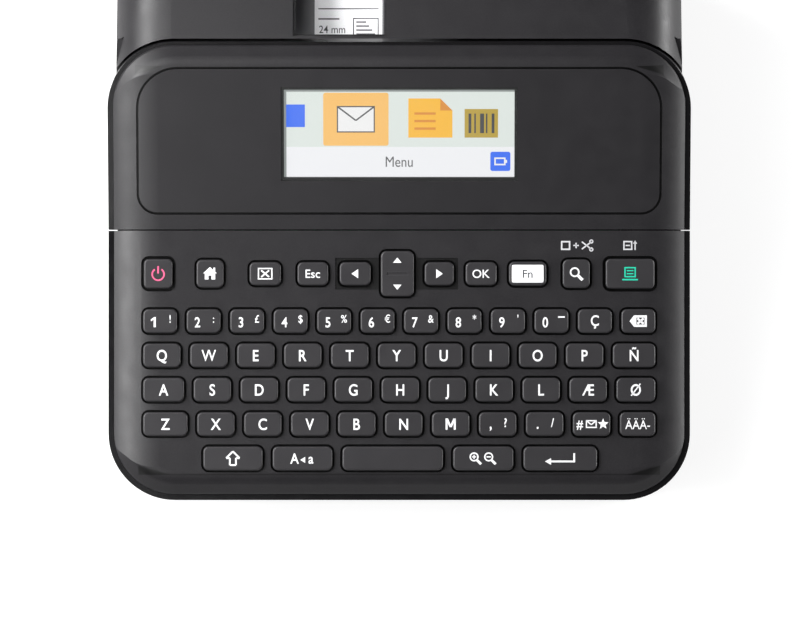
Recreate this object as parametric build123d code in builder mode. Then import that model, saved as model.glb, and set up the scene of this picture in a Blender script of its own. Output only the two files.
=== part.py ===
from build123d import *
import math
import os

# Desktop label maker: two sloping shells over a lower case, a hinged tape cover behind them,
# a tape cassette with its printing and cutting mechanism, a keyboard and a battery bay.
# Millimetres and degrees. +X right, +Y to the back, +Z up, origin on the table under the middle.

# Outside of the body
overall_height = 86.0
key_field = 170.1
side_margin = 10.95
deck_slope = 16.0
display_slope = 26.0
deck_length = 88.9
display_length = 62.0
compartment_depth = 52.1
corner_radius = 22.0
foot_height = 1.5
foot_radius = 6.0
foot_recess = 0.5

# Upper shells, depths measured square to their slopes
shell_depth = 14.0
ledge_width = 1.9
rear_ledge_width = 0.9
ledge_depth = 5.0
shoulder_width = 5.5
shoulder_drop = 4.2
shoulder_radius = 8.0
shoulder_foot_radius = 1.2
crown_width = 15.1
deck_plate = 2.4
display_plate = 2.8
skirt_wall = 5.6
shoulder_cavity_depth = 7.2
cavity_margin = 2.5
cavity_corner_radius = 12.0
seam_wall = 2.4
seam_gap = 0.4

# Lower case
case_wall = 2.4
case_inset = 2.6
case_front_inset = 5.2
case_corner_radius = 18.0
case_bottom_radius = 2.5
case_gap = 0.25

# Keys
key_gap = 1.65
hole_radius = 2.6
cap_gap = 0.72
round_cap_gap = 1.0
cap_rise = 1.3
cap_edge_radius = 0.6
key_travel = 1.0
flange_overlap = 0.5
flange_thickness = 1.0
flange_clearance = 0.25
rocker_clearance = 0.6
rocker_groove_width = 7.1
rocker_groove_length = 0.9
rocker_groove_depth = 0.4
row_pitch = 11.3
row_gap = 2.0
function_row = 14.2
number_row = 29.8
row_shift = 1.15
number_count = 12
letter_count = 11
cross_recess = 0.35
cross_margin = 0.7
# Name, hole width, hole height and the share of the spare width that follows the key
function_keys = [
    ("power_key", 11.4, 11.7, 6.2),
    ("home_key", 10.4, 10.7, 7.1),
    ("preview_key", 11.8, 9.1, 4.0),
    ("escape_key", 11.6, 9.1, 2.3),
    ("left_key", 11.7, 9.1, 1.9),
    ("up_down_key", 12.3, 16.4, 2.1),
    ("right_key", 11.1, 9.1, 2.4),
    ("ok_key", 11.7, 9.1, 2.6),
    ("function_key", 13.8, 9.4, 3.9),
    ("search_key", 10.4, 10.9, 3.5),
    ("print_key", 18.1, 11.8, 0.0),
]
# Name and hole width of the bottom row's keys
bottom_keys = [
    ("shift_key", 21.0),
    ("character_key", 21.1),
    ("space_key", 34.6),
    ("zoom_key", 21.3),
    ("enter_key", 25.7),
]
bottom_gap = 1.85
bottom_row_offset = 0.3

# Keypad under the deck
mat_thickness = 1.1
dome_height = 0.8
dome_radius = 2.5
dome_clearance = 0.35
board_thickness = 1.6
keypad_margin = 0.8

# Display
panel_width = 171.3
panel_length = 47.5
panel_start = 6.1
panel_upper_radius = 13.0
panel_lower_radius = 6.0
panel_thickness = 1.3
panel_recess = 0.2
panel_gap = 0.8
screen_width = 75.8
screen_length = 29.1
screen_start = 17.5
lens_ledge = 1.0
lens_gap = 0.1
module_margin = 3.8
module_thickness = 4.5

# Tape cover and its hinge
cover_drop = 1.4
cover_depth = 12.6
cover_wall = 2.2
cover_edge = 0.5
cover_corner_margin = 4.2
cover_crown_width = 18.4
cover_gap = 0.5
cover_lift = 0.3
window_left = -35.0
window_right = -4.0
window_bar = 1.4
window_length = 32.4
window_ledge = 1.0
window_thickness = 1.0
window_recess = 0.2
window_gap = 0.1
knuckle_radius = 2.5
knuckle_length = 14.0
knuckle_offset = 60.0
ear_length = 5.0
hinge_gap = 0.4
hinge_pin_radius = 1.2
running_gap = 0.05

# Mechanism: a chassis of two plates with the gears between them
chassis_left = -76.4
chassis_right = 80.0
chassis_thickness = 1.5
chassis_gap = 0.6
chassis_rear_gap = 1.6
gear_room = 6.0
gear_width = 4.8
lower_plate_left = -68.0
lower_plate_right = -4.0
lower_plate_setback = 4.0
spacer_radius = 2.5
spacer_margin = 4.0
chassis_post_radius = 3.5
chassis_post_depth = 8.0
chassis_screw_inset = 3.5
front_screw_places = [-72.0, 76.0]
rear_screw_places = [12.0, 76.0]

# Gears
gear_module = 0.8
pressure_angle = 20.0
gear_addendum = 0.64
gear_dedendum = 0.9
tooth_backlash = 0.24
spindle_teeth = 48
platen_teeth = 12
pinion_teeth = 12

# Tape line, measured back from the step behind the display, rollers and head
tape_line_back = 38.1
tape_width = 24.0
tape_thickness = 0.15
tape_margin = 2.0
platen_x = -42.0
platen_radius = 3.0
platen_shaft_radius = 1.5
platen_run = 60.0
holder_pivot_x = -5.0
holder_pivot_back = 5.0
holder_pivot_radius = 2.0
holder_barrel_radius = 3.6
holder_arm = 1.4
holder_back = 1.2
holder_gap = 0.45
holder_reach = 5.0
holder_release = 3.5
head_width = 12.0
head_thickness = 2.1
head_gap = 0.3
sink_width = 16.0
sink_thickness = 2.2
sink_drop = 2.0
spindle_shaft_radius = 2.0
spindle_radius = 3.9
spindle_height = 20.0
spindle_rib = 0.7
spindle_ribs = 6
motor_radius = 12.0
motor_height = 22.0
motor_shaft_radius = 1.0
motor_shaft_depth = 4.0

# Cassette
cassette_left = -57.0
cassette_width = 76.0
cassette_gap = 0.75
cassette_height = 29.0
cassette_sink = 30.5
cassette_wall = 1.6
cassette_radius = 3.0
head_bay_left = -52.0
head_bay_right = -32.0
head_bay_depth = 5.1
reel_radius = 16.0
reel_x = 1.0
reel_setback = 17.9
reel_bore = 5.0
reel_lift = 0.2
spool_radius = 9.0
spool_gap = 0.1
label_left = -28.0
label_right = -5.6
label_margin = 0.6
label_thickness = 0.2

# Cutter
blade_x = -77.5
blade_thickness = 1.0
blade_gap = 0.1
blade_pivot_setback = 1.0
blade_pivot_drop = 4.5
blade_pivot_radius = 2.0
blade_edge = 2.0
blade_width = 8.0
blade_reach = 33.0
blade_opening = 20.0
blade_tail = 20.4
fork_slot = 4.8
fork_depth = 5.5
fork_width = 8.0
fixed_edge_back = 0.7
fixed_reach_front = 24.0
fixed_reach_rear = 10.0
fixed_drop = 1.0
fixed_below_crank = 5.5
crank_back = 3.6
crank_drop = 23.5
crank_radius = 6.0
crank_start = 45.0
crank_thickness = 1.2
crank_hub_radius = 2.6
crank_pin_radius = 1.2
crank_shaft_depth = 4.0
cutter_motor_length = 24.0
cutter_motor_width = 10.0

# Battery bay under the case
cell_radius = 7.15
cell_length = 50.3
cell_gap = 0.7
cell_rows = 3
cells_per_row = 2
nub_radius = 2.7
nub_length = 1.0
bay_setback = 32.6
bay_wall = 2.4
door_lip = 1.5
door_thickness = 2.2
door_gap = 0.3
door_travel = 3.0
contact_thickness = 0.5
contact_size = 10.0

# Main board and sockets
main_board_gap = 2.5
main_board_left = -70.0
main_board_right = 78.0
main_board_setback = 6.0
main_board_length = 76.0
board_post_radius = 3.0
board_post_margin = 4.0
socket_height = 11.0
socket_gap = 0.5
usb_width = 12.0
usb_length = 19.0
usb_inset = 24.0
jack_width = 9.0
jack_length = 19.0
jack_inset = 9.0
jack_bore = 2.75
jack_pin_radius = 1.0
socket_recess = 0.4

# Screws and their bosses
screw_radius = 1.5
screw_head_radius = 2.75
screw_head_height = 2.0
screw_bite = 8.0
screw_gap = 0.1
boss_radius = 2.2
post_radius = 4.0
post_roof = 4.0
boss_length = 18.0
deck_boss_margin = 3.35
deck_boss_inset = 14.6
deck_boss_seam_inset = 9.1
display_boss_x = 84.0
display_boss_setback = 42.9
display_boss_radius = 3.5

# Derived places
overall_width = key_field + 2 * side_margin
deck_tilt = math.radians(deck_slope)
display_tilt = math.radians(display_slope)
shoulder_angle = math.atan2(shoulder_drop, shoulder_width)
shoulder_total = shoulder_width + shoulder_radius * math.tan(shoulder_angle / 2)
shoulder_start = display_length - rear_ledge_width - shoulder_total
crown_drop = (shoulder_drop + ledge_depth) / 2
peak_rise = shoulder_start * math.sin(display_tilt) + shoulder_radius * (1 - math.cos(display_tilt))
front_to_seam = deck_length * math.cos(deck_tilt) - ledge_depth * math.sin(deck_tilt)
seam_to_step = display_length * math.cos(display_tilt) + shell_depth * math.sin(display_tilt)
overall_depth = front_to_seam + seam_to_step + compartment_depth + knuckle_radius
seam_y = front_to_seam - overall_depth / 2
seam_z = overall_height - peak_rise
case_half = overall_width / 2 - case_inset
skirt_front = seam_y - deck_length * math.cos(deck_tilt) + shell_depth * math.sin(deck_tilt)
case_front = skirt_front + case_front_inset
case_floor = foot_height + case_wall
rear_y = overall_depth / 2 - knuckle_radius
step_y = seam_y + seam_to_step
cover_top = overall_height - cover_drop
split_height = cover_top - cover_depth
cover_bottom = split_height + cover_lift
cover_roll = cover_top - cover_bottom - cover_edge
rear_corner_radius = cover_roll + cover_corner_margin
cover_crown_drop = cover_roll + cover_edge / 2
cassette_floor = split_height - cassette_sink
flange_top = deck_plate + flange_clearance
mat_top = flange_top + flange_thickness + key_travel + dome_clearance + dome_height
mat_bottom = mat_top + mat_thickness
chassis_front = step_y + chassis_gap
chassis_rear = rear_y - case_wall - chassis_rear_gap
chassis_points = [(x, chassis_front + chassis_screw_inset) for x in front_screw_places]
chassis_points += [(x, chassis_rear - chassis_screw_inset) for x in rear_screw_places]
tape_line = step_y + tape_line_back
upper_plate_z = cassette_floor - chassis_thickness
lower_plate_z = upper_plate_z - gear_room - chassis_thickness
gear_z = upper_plate_z - (gear_room + gear_width) / 2
platen_y = tape_line + tape_thickness + platen_radius
spindle_distance = gear_module * (spindle_teeth + platen_teeth) / 2
spindle_x = platen_x + spindle_distance * math.cos(math.radians(platen_run))
spindle_y = platen_y - spindle_distance * math.sin(math.radians(platen_run))
pinion_x = spindle_x - gear_module * (spindle_teeth + pinion_teeth) / 2
tape_bottom = cassette_floor + tape_margin
tape_top = tape_bottom + tape_width
cassette_front = step_y + cassette_gap
cassette_rear = tape_line - head_gap
cassette_top = cassette_floor + cassette_height
cassette_right = cassette_left + cassette_width
head_bay_front = cassette_rear - head_bay_depth
reel_y = cassette_front + reel_setback
lower_plate_rear = tape_line - lower_plate_setback
holder_pivot_y = tape_line + holder_pivot_back
blade_pivot_y = tape_line - blade_pivot_setback
blade_pivot_z = cassette_floor - blade_pivot_drop
fixed_edge = tape_line + fixed_edge_back
fixed_front = tape_line - fixed_reach_front
fixed_rear = tape_line + fixed_reach_rear
fixed_top = split_height - fixed_drop
crank_y = blade_pivot_y + crank_back
crank_z = blade_pivot_z - crank_drop
fixed_bottom = crank_z - fixed_below_crank
bay_front = case_front + bay_setback
bay_length = cells_per_row * (cell_length + nub_length) + 2 * (contact_thickness + cell_gap)
bay_depth = cell_rows * (2 * cell_radius + cell_gap) + cell_gap
bay_rear = bay_front + bay_depth
cell_z = foot_height + door_thickness + cell_gap / 2 + cell_radius
bay_roof = cell_z + cell_radius + cell_gap
main_board_z = bay_roof + bay_wall + main_board_gap
main_board_front = bay_front + main_board_setback
main_board_rear = main_board_front + main_board_length
usb_y = main_board_rear - usb_inset
jack_y = main_board_rear - jack_inset
deck_boss_fronts = [case_front + deck_boss_inset, seam_y - deck_boss_seam_inset]
display_boss_y = seam_y + display_boss_setback
deck_boss_x = key_field / 2 + deck_boss_margin
hinge_starts = [-knuckle_offset, knuckle_offset]


def slope_plane(tilt):
    """Plane through the seam, rising to the back, with its normal up and forward."""
    return Plane(
        origin=(0, seam_y, seam_z),
        x_dir=(1, 0, 0),
        z_dir=(0, -math.sin(tilt), math.cos(tilt)),
    )


deck_plane = slope_plane(deck_tilt)
display_plane = slope_plane(display_tilt)


def slope_height(tilt, y, depth):
    """Height at y of the surface that lies depth below a shell's top."""
    return seam_z + (y - seam_y) * math.tan(tilt) - depth / math.cos(tilt)


def rounded_end(plane, width, start, end, radius):
    """Rectangle from start to end along the slope, with the two corners at end rounded."""
    with BuildSketch(plane) as outline:
        with Locations((0, (start + end) / 2)):
            Rectangle(width, abs(end - start))
        rows = outline.vertices().group_by(Axis.Y)
        fillet(rows[0] if end < start else rows[-1], radius)
    return outline.sketch


def case_outline(height, inset):
    """Plan of the lower case, drawn in by inset."""
    with BuildSketch(Plane.XY.offset(height)) as outline:
        with Locations((0, (case_front + rear_y) / 2)):
            Rectangle(2 * (case_half - inset), rear_y - case_front - 2 * inset)
        rows = outline.vertices().group_by(Axis.Y)
        fillet(rows[0], case_corner_radius - inset)
        rows = outline.vertices().group_by(Axis.Y)
        fillet(rows[-1], rear_corner_radius - inset)
    return outline.sketch


def side_profile(points):
    """Face in the side view, from points given as y and z."""
    with BuildSketch(Plane.YZ) as profile:
        with BuildLine():
            Polyline(points, close=True)
        make_face()
    return profile.sketch


def side_roll(plane, half_width, roll_width, drop, inset):
    """What an arc takes off both sides of a top that lies in the plane, drawn in by inset."""
    radius = (roll_width**2 + drop**2) / (2 * drop) - inset
    roll_start = half_width - roll_width
    end_angle = math.asin((half_width - inset - roll_start) / radius)
    across = Plane(plane.origin, x_dir=(1, 0, 0), z_dir=-plane.y_dir)
    with BuildPart() as roll:
        for side in (-1, 1):
            with BuildSketch(across):
                with BuildLine():
                    points = []
                    for angle in (0, end_angle / 2, end_angle):
                        depth = inset + radius * (1 - math.cos(angle))
                        points.append((side * (roll_start + radius * math.sin(angle)), -depth))
                    ThreePointArc(*points)
                    beyond = side * overall_width
                    outside = [(beyond, points[-1][1]), (beyond, shell_depth), (points[0][0], shell_depth)]
                    Polyline(points[-1], *outside, points[0])
                make_face()
            extrude(amount=overall_depth, both=True)
    return roll.part


def shell_roll(plane):
    """What the roll towards the sides takes off an upper shell, or off a plate in it."""
    return side_roll(plane, overall_width / 2 - ledge_width, crown_width, crown_drop, 0)


def edges_at(part, plane, level):
    """Edges that lie flat at a level above a plane."""
    def flat(edge):
        heights = [plane.to_local_coords(edge.position_at(share)).Z for share in (0, 0.5, 1)]
        return max(abs(height - level) for height in heights) < 0.01
    return part.edges().filter_by(flat)


def off_the_seam(edges, plane):
    """Edges whose middle isn't on the plane's own x axis, where the seam is."""
    return edges.filter_by(lambda edge: abs(plane.to_local_coords(edge.center()).Y) > ledge_width)


def shell_top_outline(plane, depth, start, end, inset):
    """Outline of an upper shell at a depth, drawn in by inset on its three outer sides."""
    reach = end + inset if end < start else end - inset
    return rounded_end(plane.offset(-depth), overall_width - 2 * inset, start, reach, corner_radius - inset)


def upper_cavity(plane, start, end):
    """Room under a shell's flat top, as wide as the keys need."""
    width = key_field + 2 * cavity_margin
    return rounded_end(plane.offset(-shell_depth), width, start, end, cavity_corner_radius)


def gear_outline(plane, teeth, phase):
    """Spur gear with involute flanks, one tooth standing at the phase angle."""
    pitch_radius = gear_module * teeth / 2
    base_radius = pitch_radius * math.cos(math.radians(pressure_angle))
    root = pitch_radius - gear_dedendum
    tip = pitch_radius + gear_addendum
    pitch_half = (math.pi * gear_module / 2 - tooth_backlash) / 2 / pitch_radius
    pitch_pressure = math.radians(pressure_angle)
    pitch_involute = math.tan(pitch_pressure) - pitch_pressure
    radii = [root, (root + pitch_radius) / 2, pitch_radius, tip]

    def half_angle(radius):
        pressure = math.acos(min(1.0, base_radius / radius))
        return pitch_half + pitch_involute - (math.tan(pressure) - pressure)

    points = []
    for tooth in range(teeth):
        middle = math.radians(phase) + 2 * math.pi * tooth / teeth
        rising = [(radius, middle - half_angle(radius)) for radius in radii]
        falling = [(radius, middle + half_angle(radius)) for radius in reversed(radii)]
        for radius, angle in rising + falling:
            points.append((radius * math.cos(angle), radius * math.sin(angle)))
    with BuildSketch(plane) as outline:
        with BuildLine():
            Polyline(points, close=True)
        make_face()
    return outline.sketch


# Key places: name, centre across, centre down the slope, hole width and height
def function_row_places():
    """The function row's keys, with the spare width shared out between them."""
    spare = key_field - sum(width for name, width, height, share in function_keys)
    shares = sum(share for name, width, height, share in function_keys)
    left = -key_field / 2
    places = []
    for name, width, height, share in function_keys:
        places.append((name, left + width / 2, -function_row, width, height))
        left += width + spare * share / shares
    return places


def bottom_row_places():
    """The bottom row's keys, side by side about the middle."""
    row = -(number_row + 4 * row_pitch)
    total = sum(width for name, width in bottom_keys) + bottom_gap * (len(bottom_keys) - 1)
    left = bottom_row_offset - total / 2
    places = []
    for name, width in bottom_keys:
        places.append((name, left + width / 2, row, width, row_pitch - row_gap))
        left += width + bottom_gap
    return places


def number_row_places():
    """The number row's keys, evenly spaced over the key field."""
    pitch = (key_field + key_gap) / number_count
    first = -key_field / 2 + (pitch - key_gap) / 2
    return [
        ("number_row_keys", first + number * pitch, -number_row, pitch - key_gap, row_pitch - row_gap)
        for number in range(number_count)
    ]


def letter_row_places(name, line):
    """A row of letter keys, each line shifted a little further to the right."""
    pitch = key_field / letter_count
    lefts = [-key_field / 2]
    for number in range(1, letter_count):
        lefts.append(-key_field / 2 + number * pitch + (line - 1) * row_shift)
    rights = [left - key_gap for left in lefts[1:]] + [key_field / 2]
    row = -(number_row + line * row_pitch)
    return [
        (name, (left + right) / 2, row, right - left, row_pitch - row_gap)
        for left, right in zip(lefts, rights)
    ]


single_keys = function_row_places() + bottom_row_places()
key_rows = {
    "number_row_keys": number_row_places(),
    "q_row_keys": letter_row_places("q_row_keys", 1),
    "a_row_keys": letter_row_places("a_row_keys", 2),
    "z_row_keys": letter_row_places("z_row_keys", 3),
}
all_places = single_keys + [place for places in key_rows.values() for place in places]
keypad_front = min(row - height / 2 for name, centre, row, width, height in all_places) - flange_overlap
keypad_rear = max(row + height / 2 for name, centre, row, width, height in all_places) + flange_overlap


def key_outline(level, places, growth):
    """Rounded outlines of key caps or flanges on the deck, grown from their holes."""
    with BuildSketch(deck_plane.offset(level)) as outline:
        for name, centre, row, width, height in places:
            with Locations((centre, row)):
                RectangleRounded(width + 2 * growth, height + 2 * growth, max(hole_radius + growth, 0.5))
    return outline.sketch


def key_caps(places, clearance, gap):
    """Caps, a gap smaller than their holes all round, with a flange that stops them under the deck."""
    flange_level = -(deck_plate + clearance)
    with BuildPart() as keys:
        extrude(key_outline(flange_level, places, -gap), amount=cap_rise - flange_level)
        fillet(edges_at(keys, deck_plane, cap_rise), cap_edge_radius)
        extrude(key_outline(flange_level, places, flange_overlap), amount=-flange_thickness)
    return keys.part


os.makedirs("parts", exist_ok=True)


def save(piece, name):
    """Label a finished piece and write it to its own file."""
    piece.label = name
    export_step(piece, f"parts/{name}.step")


# Keyboard deck: the front shell
with BuildPart() as keyboard_deck:
    extrude(
        shell_top_outline(deck_plane, shell_depth, 0, -deck_length, 0),
        amount=shell_depth - ledge_depth,
    )
    extrude(
        shell_top_outline(deck_plane, ledge_depth, 0, -deck_length, ledge_width),
        amount=ledge_depth,
    )
    top_face = keyboard_deck.faces().sort_by(Axis((0, 0, 0), deck_plane.z_dir))[-1]
    chamfer(off_the_seam(top_face.edges(), deck_plane), shoulder_width, shoulder_drop, reference=top_face)
    fillet(off_the_seam(edges_at(keyboard_deck, deck_plane, 0), deck_plane), shoulder_radius)
    fillet(edges_at(keyboard_deck, deck_plane, -shoulder_drop), shoulder_foot_radius)
    extrude(
        shell_top_outline(deck_plane, shell_depth, -seam_wall, -deck_length, skirt_wall),
        amount=shell_depth - shoulder_cavity_depth,
        mode=Mode.SUBTRACT,
    )
    extrude(
        upper_cavity(deck_plane, -seam_wall, keypad_front - cavity_margin),
        amount=shell_depth - deck_plate,
        mode=Mode.SUBTRACT,
    )
    for places in [single_keys] + list(key_rows.values()):
        extrude(key_outline(0, places, 0), amount=-2 * deck_plate, mode=Mode.SUBTRACT)
    with BuildSketch(deck_plane):
        cross_keys = [place for place in single_keys if place[0] in ("left_key", "right_key")]
        cross_left = cross_keys[0][1] - cross_keys[0][3] / 2 - cross_margin
        cross_right = cross_keys[1][1] + cross_keys[1][3] / 2 + cross_margin
        with Locations(((cross_left + cross_right) / 2, -function_row)):
            Rectangle(cross_right - cross_left, cross_keys[0][4] + 2 * cross_margin)
    extrude(amount=-cross_recess, mode=Mode.SUBTRACT)
    for side in (-1, 1):
        for boss_y in deck_boss_fronts:
            boss_top = slope_height(deck_tilt, boss_y, shoulder_cavity_depth - 1)
            boss_bottom = slope_height(deck_tilt, boss_y, shoulder_cavity_depth) - boss_length
            with Locations((side * deck_boss_x, boss_y, boss_bottom)):
                Cylinder(boss_radius, boss_top - boss_bottom, align=(Align.CENTER, Align.CENTER, Align.MIN))
                Cylinder(
                    screw_radius + screw_gap,
                    screw_bite + 1,
                    align=(Align.CENTER, Align.CENTER, Align.MIN),
                    mode=Mode.SUBTRACT,
                )
    add(shell_roll(deck_plane), mode=Mode.SUBTRACT)
save(keyboard_deck.part, "keyboard_deck")

# Keys
for place in single_keys:
    name, centre, row, width, height = place
    if name == "up_down_key":
        # The rocker needs more room under the deck, and has a groove across its middle
        rocker_cap = key_caps([place], rocker_clearance, cap_gap)
        with BuildPart() as rocker:
            add(rocker_cap)
            with BuildSketch(deck_plane.offset(cap_rise)):
                with Locations((centre, row)):
                    Rectangle(rocker_groove_width, rocker_groove_length)
            extrude(amount=-rocker_groove_depth, mode=Mode.SUBTRACT)
        save(rocker.part, name)
    elif name in ("power_key", "print_key"):
        save(key_caps([place], flange_clearance, round_cap_gap), name)
    else:
        save(key_caps([place], flange_clearance, cap_gap), name)
for row_name, places in key_rows.items():
    save(key_caps(places, flange_clearance, cap_gap), row_name)

# Rubber mat with a dome under each key, and the board that it lies on
def keypad_outline(margin):
    """Plan of the mat and the board, with front corners that clear the deck's cavity."""
    width = key_field + 2 * keypad_margin
    level = deck_plane.offset(-mat_bottom)
    return rounded_end(level, width, keypad_rear + margin, keypad_front - margin, cavity_corner_radius)


with BuildPart() as keypad_mat:
    extrude(keypad_outline(0), amount=mat_thickness)
    with BuildSketch(deck_plane.offset(-mat_top)):
        with Locations(*[(centre, row) for name, centre, row, width, height in all_places]):
            Circle(dome_radius)
    extrude(amount=dome_height)
save(keypad_mat.part, "keypad_mat")

with BuildPart() as key_board:
    extrude(keypad_outline(keypad_margin), amount=-board_thickness)
save(key_board.part, "key_board")

# Display housing: the rear shell, cut off square to the deck at the seam
screen_middle = screen_start + screen_length / 2
panel_middle = panel_start + panel_length / 2


def panel_outline(level, growth):
    """Outline of the inset panel, with larger corners at its upper edge."""
    with BuildSketch(display_plane.offset(level)) as outline:
        with Locations((0, panel_middle)):
            Rectangle(panel_width + 2 * growth, panel_length + 2 * growth)
        rows = outline.vertices().group_by(Axis.Y)
        fillet(rows[0], panel_lower_radius + growth)
        rows = outline.vertices().group_by(Axis.Y)
        fillet(rows[-1], panel_upper_radius + growth)
    return outline.sketch


def screen_outline(level, growth):
    """Rectangle round the screen's visible part."""
    with BuildSketch(display_plane.offset(level)) as outline:
        with Locations((0, screen_middle)):
            Rectangle(screen_width + 2 * growth, screen_length + 2 * growth)
    return outline.sketch


pocket_depth = panel_recess + panel_thickness
with BuildPart() as display_housing:
    housing_start = -shell_depth / 2
    housing_top_end = display_length + ledge_width - rear_ledge_width
    extrude(
        shell_top_outline(display_plane, shell_depth, housing_start, display_length, 0),
        amount=shell_depth - ledge_depth,
    )
    extrude(
        shell_top_outline(display_plane, ledge_depth, housing_start, housing_top_end, ledge_width),
        amount=ledge_depth,
    )
    top_face = display_housing.faces().sort_by(Axis((0, 0, 0), display_plane.z_dir))[-1]
    outer_edges = top_face.edges().sort_by(Axis((0, 0, 0), display_plane.y_dir))[1:]
    chamfer(outer_edges, shoulder_width, shoulder_drop, reference=top_face)
    top_edges = edges_at(display_housing, display_plane, 0)
    fillet(top_edges.sort_by(Axis((0, 0, 0), display_plane.y_dir))[1:], shoulder_radius)
    fillet(edges_at(display_housing, display_plane, -shoulder_drop), shoulder_foot_radius)
    extrude(
        shell_top_outline(display_plane, shell_depth, housing_start, display_length, skirt_wall),
        amount=shell_depth - shoulder_cavity_depth,
        mode=Mode.SUBTRACT,
    )
    extrude(
        upper_cavity(display_plane, housing_start, shoulder_start),
        amount=shell_depth - display_plate,
        mode=Mode.SUBTRACT,
    )
    for side in (-1, 1):
        boss_top = slope_height(display_tilt, display_boss_y, pocket_depth)
        boss_bottom = slope_height(display_tilt, display_boss_y, display_plate) - boss_length
        with Locations((side * display_boss_x, display_boss_y, boss_bottom)):
            Cylinder(
                display_boss_radius,
                boss_top - boss_bottom,
                align=(Align.CENTER, Align.CENTER, Align.MIN),
            )
            Cylinder(
                screw_radius + screw_gap,
                screw_bite + 1,
                align=(Align.CENTER, Align.CENTER, Align.MIN),
                mode=Mode.SUBTRACT,
            )
    pocket_cut = pocket_depth + display_boss_radius
    extrude(panel_outline(display_boss_radius, panel_gap), amount=-pocket_cut, mode=Mode.SUBTRACT)
    extrude(screen_outline(0, 0), amount=-display_plate, mode=Mode.SUBTRACT)
    add(shell_roll(display_plane), mode=Mode.SUBTRACT)
    seam_cut = Plane(deck_plane.origin, x_dir=(1, 0, 0), z_dir=deck_plane.y_dir).offset(seam_gap)
    split(bisect_by=seam_cut, keep=Keep.TOP)
save(display_housing.part, "display_housing")

with BuildPart() as display_panel:
    extrude(panel_outline(-pocket_depth, 0), amount=panel_thickness)
    extrude(screen_outline(-pocket_depth, lens_ledge), amount=panel_thickness, mode=Mode.SUBTRACT)
    add(shell_roll(display_plane.offset(-panel_recess)), mode=Mode.SUBTRACT)
save(display_panel.part, "display_panel")

with BuildPart() as display_lens:
    extrude(screen_outline(-pocket_depth, lens_ledge - lens_gap), amount=panel_thickness)
save(display_lens.part, "display_lens")

with BuildPart() as lcd_module:
    extrude(screen_outline(-display_plate, module_margin), amount=-module_thickness)
save(lcd_module.part, "lcd_module")

# Outer form of the tape cover, with its top edge rolled over at the sides and the rear
cover_start = seam_y + (display_length - corner_radius) * math.cos(display_tilt)


def cover_form(bottom, inset):
    """Solid form of the tape cover from a height upwards, drawn in by inset."""
    with BuildPart() as form:
        with BuildSketch(Plane.XY.offset(bottom)) as outline:
            with Locations((0, (cover_start + rear_y - inset) / 2)):
                Rectangle(2 * (case_half - inset), rear_y - inset - cover_start)
            rows = outline.vertices().group_by(Axis.Y)
            fillet(rows[-1], rear_corner_radius - inset)
        extrude(amount=cover_top - inset - bottom)
        fillet(edges_at(form, Plane.XY, cover_top - inset).sort_by(Axis.Y)[1:], cover_roll - inset)
    return form.part


def cover_roll_off(inset):
    """What the wide roll of the cover's sides takes off its form, drawn in by inset."""
    return side_roll(Plane.XY.offset(cover_top), case_half, cover_crown_width, cover_crown_drop, inset)


# Lower case with its posts, battery bay, partition and openings
case_screws_points = []
for side in (-1, 1):
    for boss_y in deck_boss_fronts:
        top = slope_height(deck_tilt, boss_y, shoulder_cavity_depth) - boss_length
        case_screws_points.append((side * deck_boss_x, boss_y, top))
    top = slope_height(display_tilt, display_boss_y, display_plate) - boss_length
    case_screws_points.append((side * display_boss_x, display_boss_y, top))
main_board_posts = [
    (x, y)
    for x in (main_board_left + board_post_margin, main_board_right - board_post_margin)
    for y in (main_board_front + board_post_margin, main_board_rear - board_post_margin)
]
foot_points = [
    (side * (case_half - 3 * foot_radius), y)
    for side in (-1, 1)
    for y in (case_front + 3 * foot_radius, rear_y - 3 * foot_radius)
]
far = 2 * overall_depth
upright = (Align.CENTER, Align.CENTER, Align.MIN)
shell_gap_depth = shell_depth + case_gap
crease_y = seam_y + shell_gap_depth * (1 / math.cos(display_tilt) - 1 / math.cos(deck_tilt)) / (
    math.tan(display_tilt) - math.tan(deck_tilt)
)
above_case = [
    (-far, slope_height(deck_tilt, -far, shell_gap_depth)),
    (crease_y, slope_height(deck_tilt, crease_y, shell_gap_depth)),
    (step_y, slope_height(display_tilt, step_y, shell_gap_depth)),
    (step_y, split_height),
    (far, split_height),
    (far, far),
    (-far, far),
]
# Where the case's side walls rise beside the cover, they follow the roll of its edge
with BuildPart() as beside_cover:
    with Locations((0, cover_start, cover_bottom)):
        Box(far, far, far, align=(Align.CENTER, Align.MIN, Align.MIN))
    add(cover_form(cover_bottom, 0), mode=Mode.SUBTRACT)

with BuildPart() as case_form:
    extrude(case_outline(foot_height, 0), amount=overall_height)
    fillet(edges_at(case_form, Plane.XY, foot_height), case_bottom_radius)

with BuildPart() as around_case:
    Box(far, far, far)
    add(case_form.part, mode=Mode.SUBTRACT)

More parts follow.
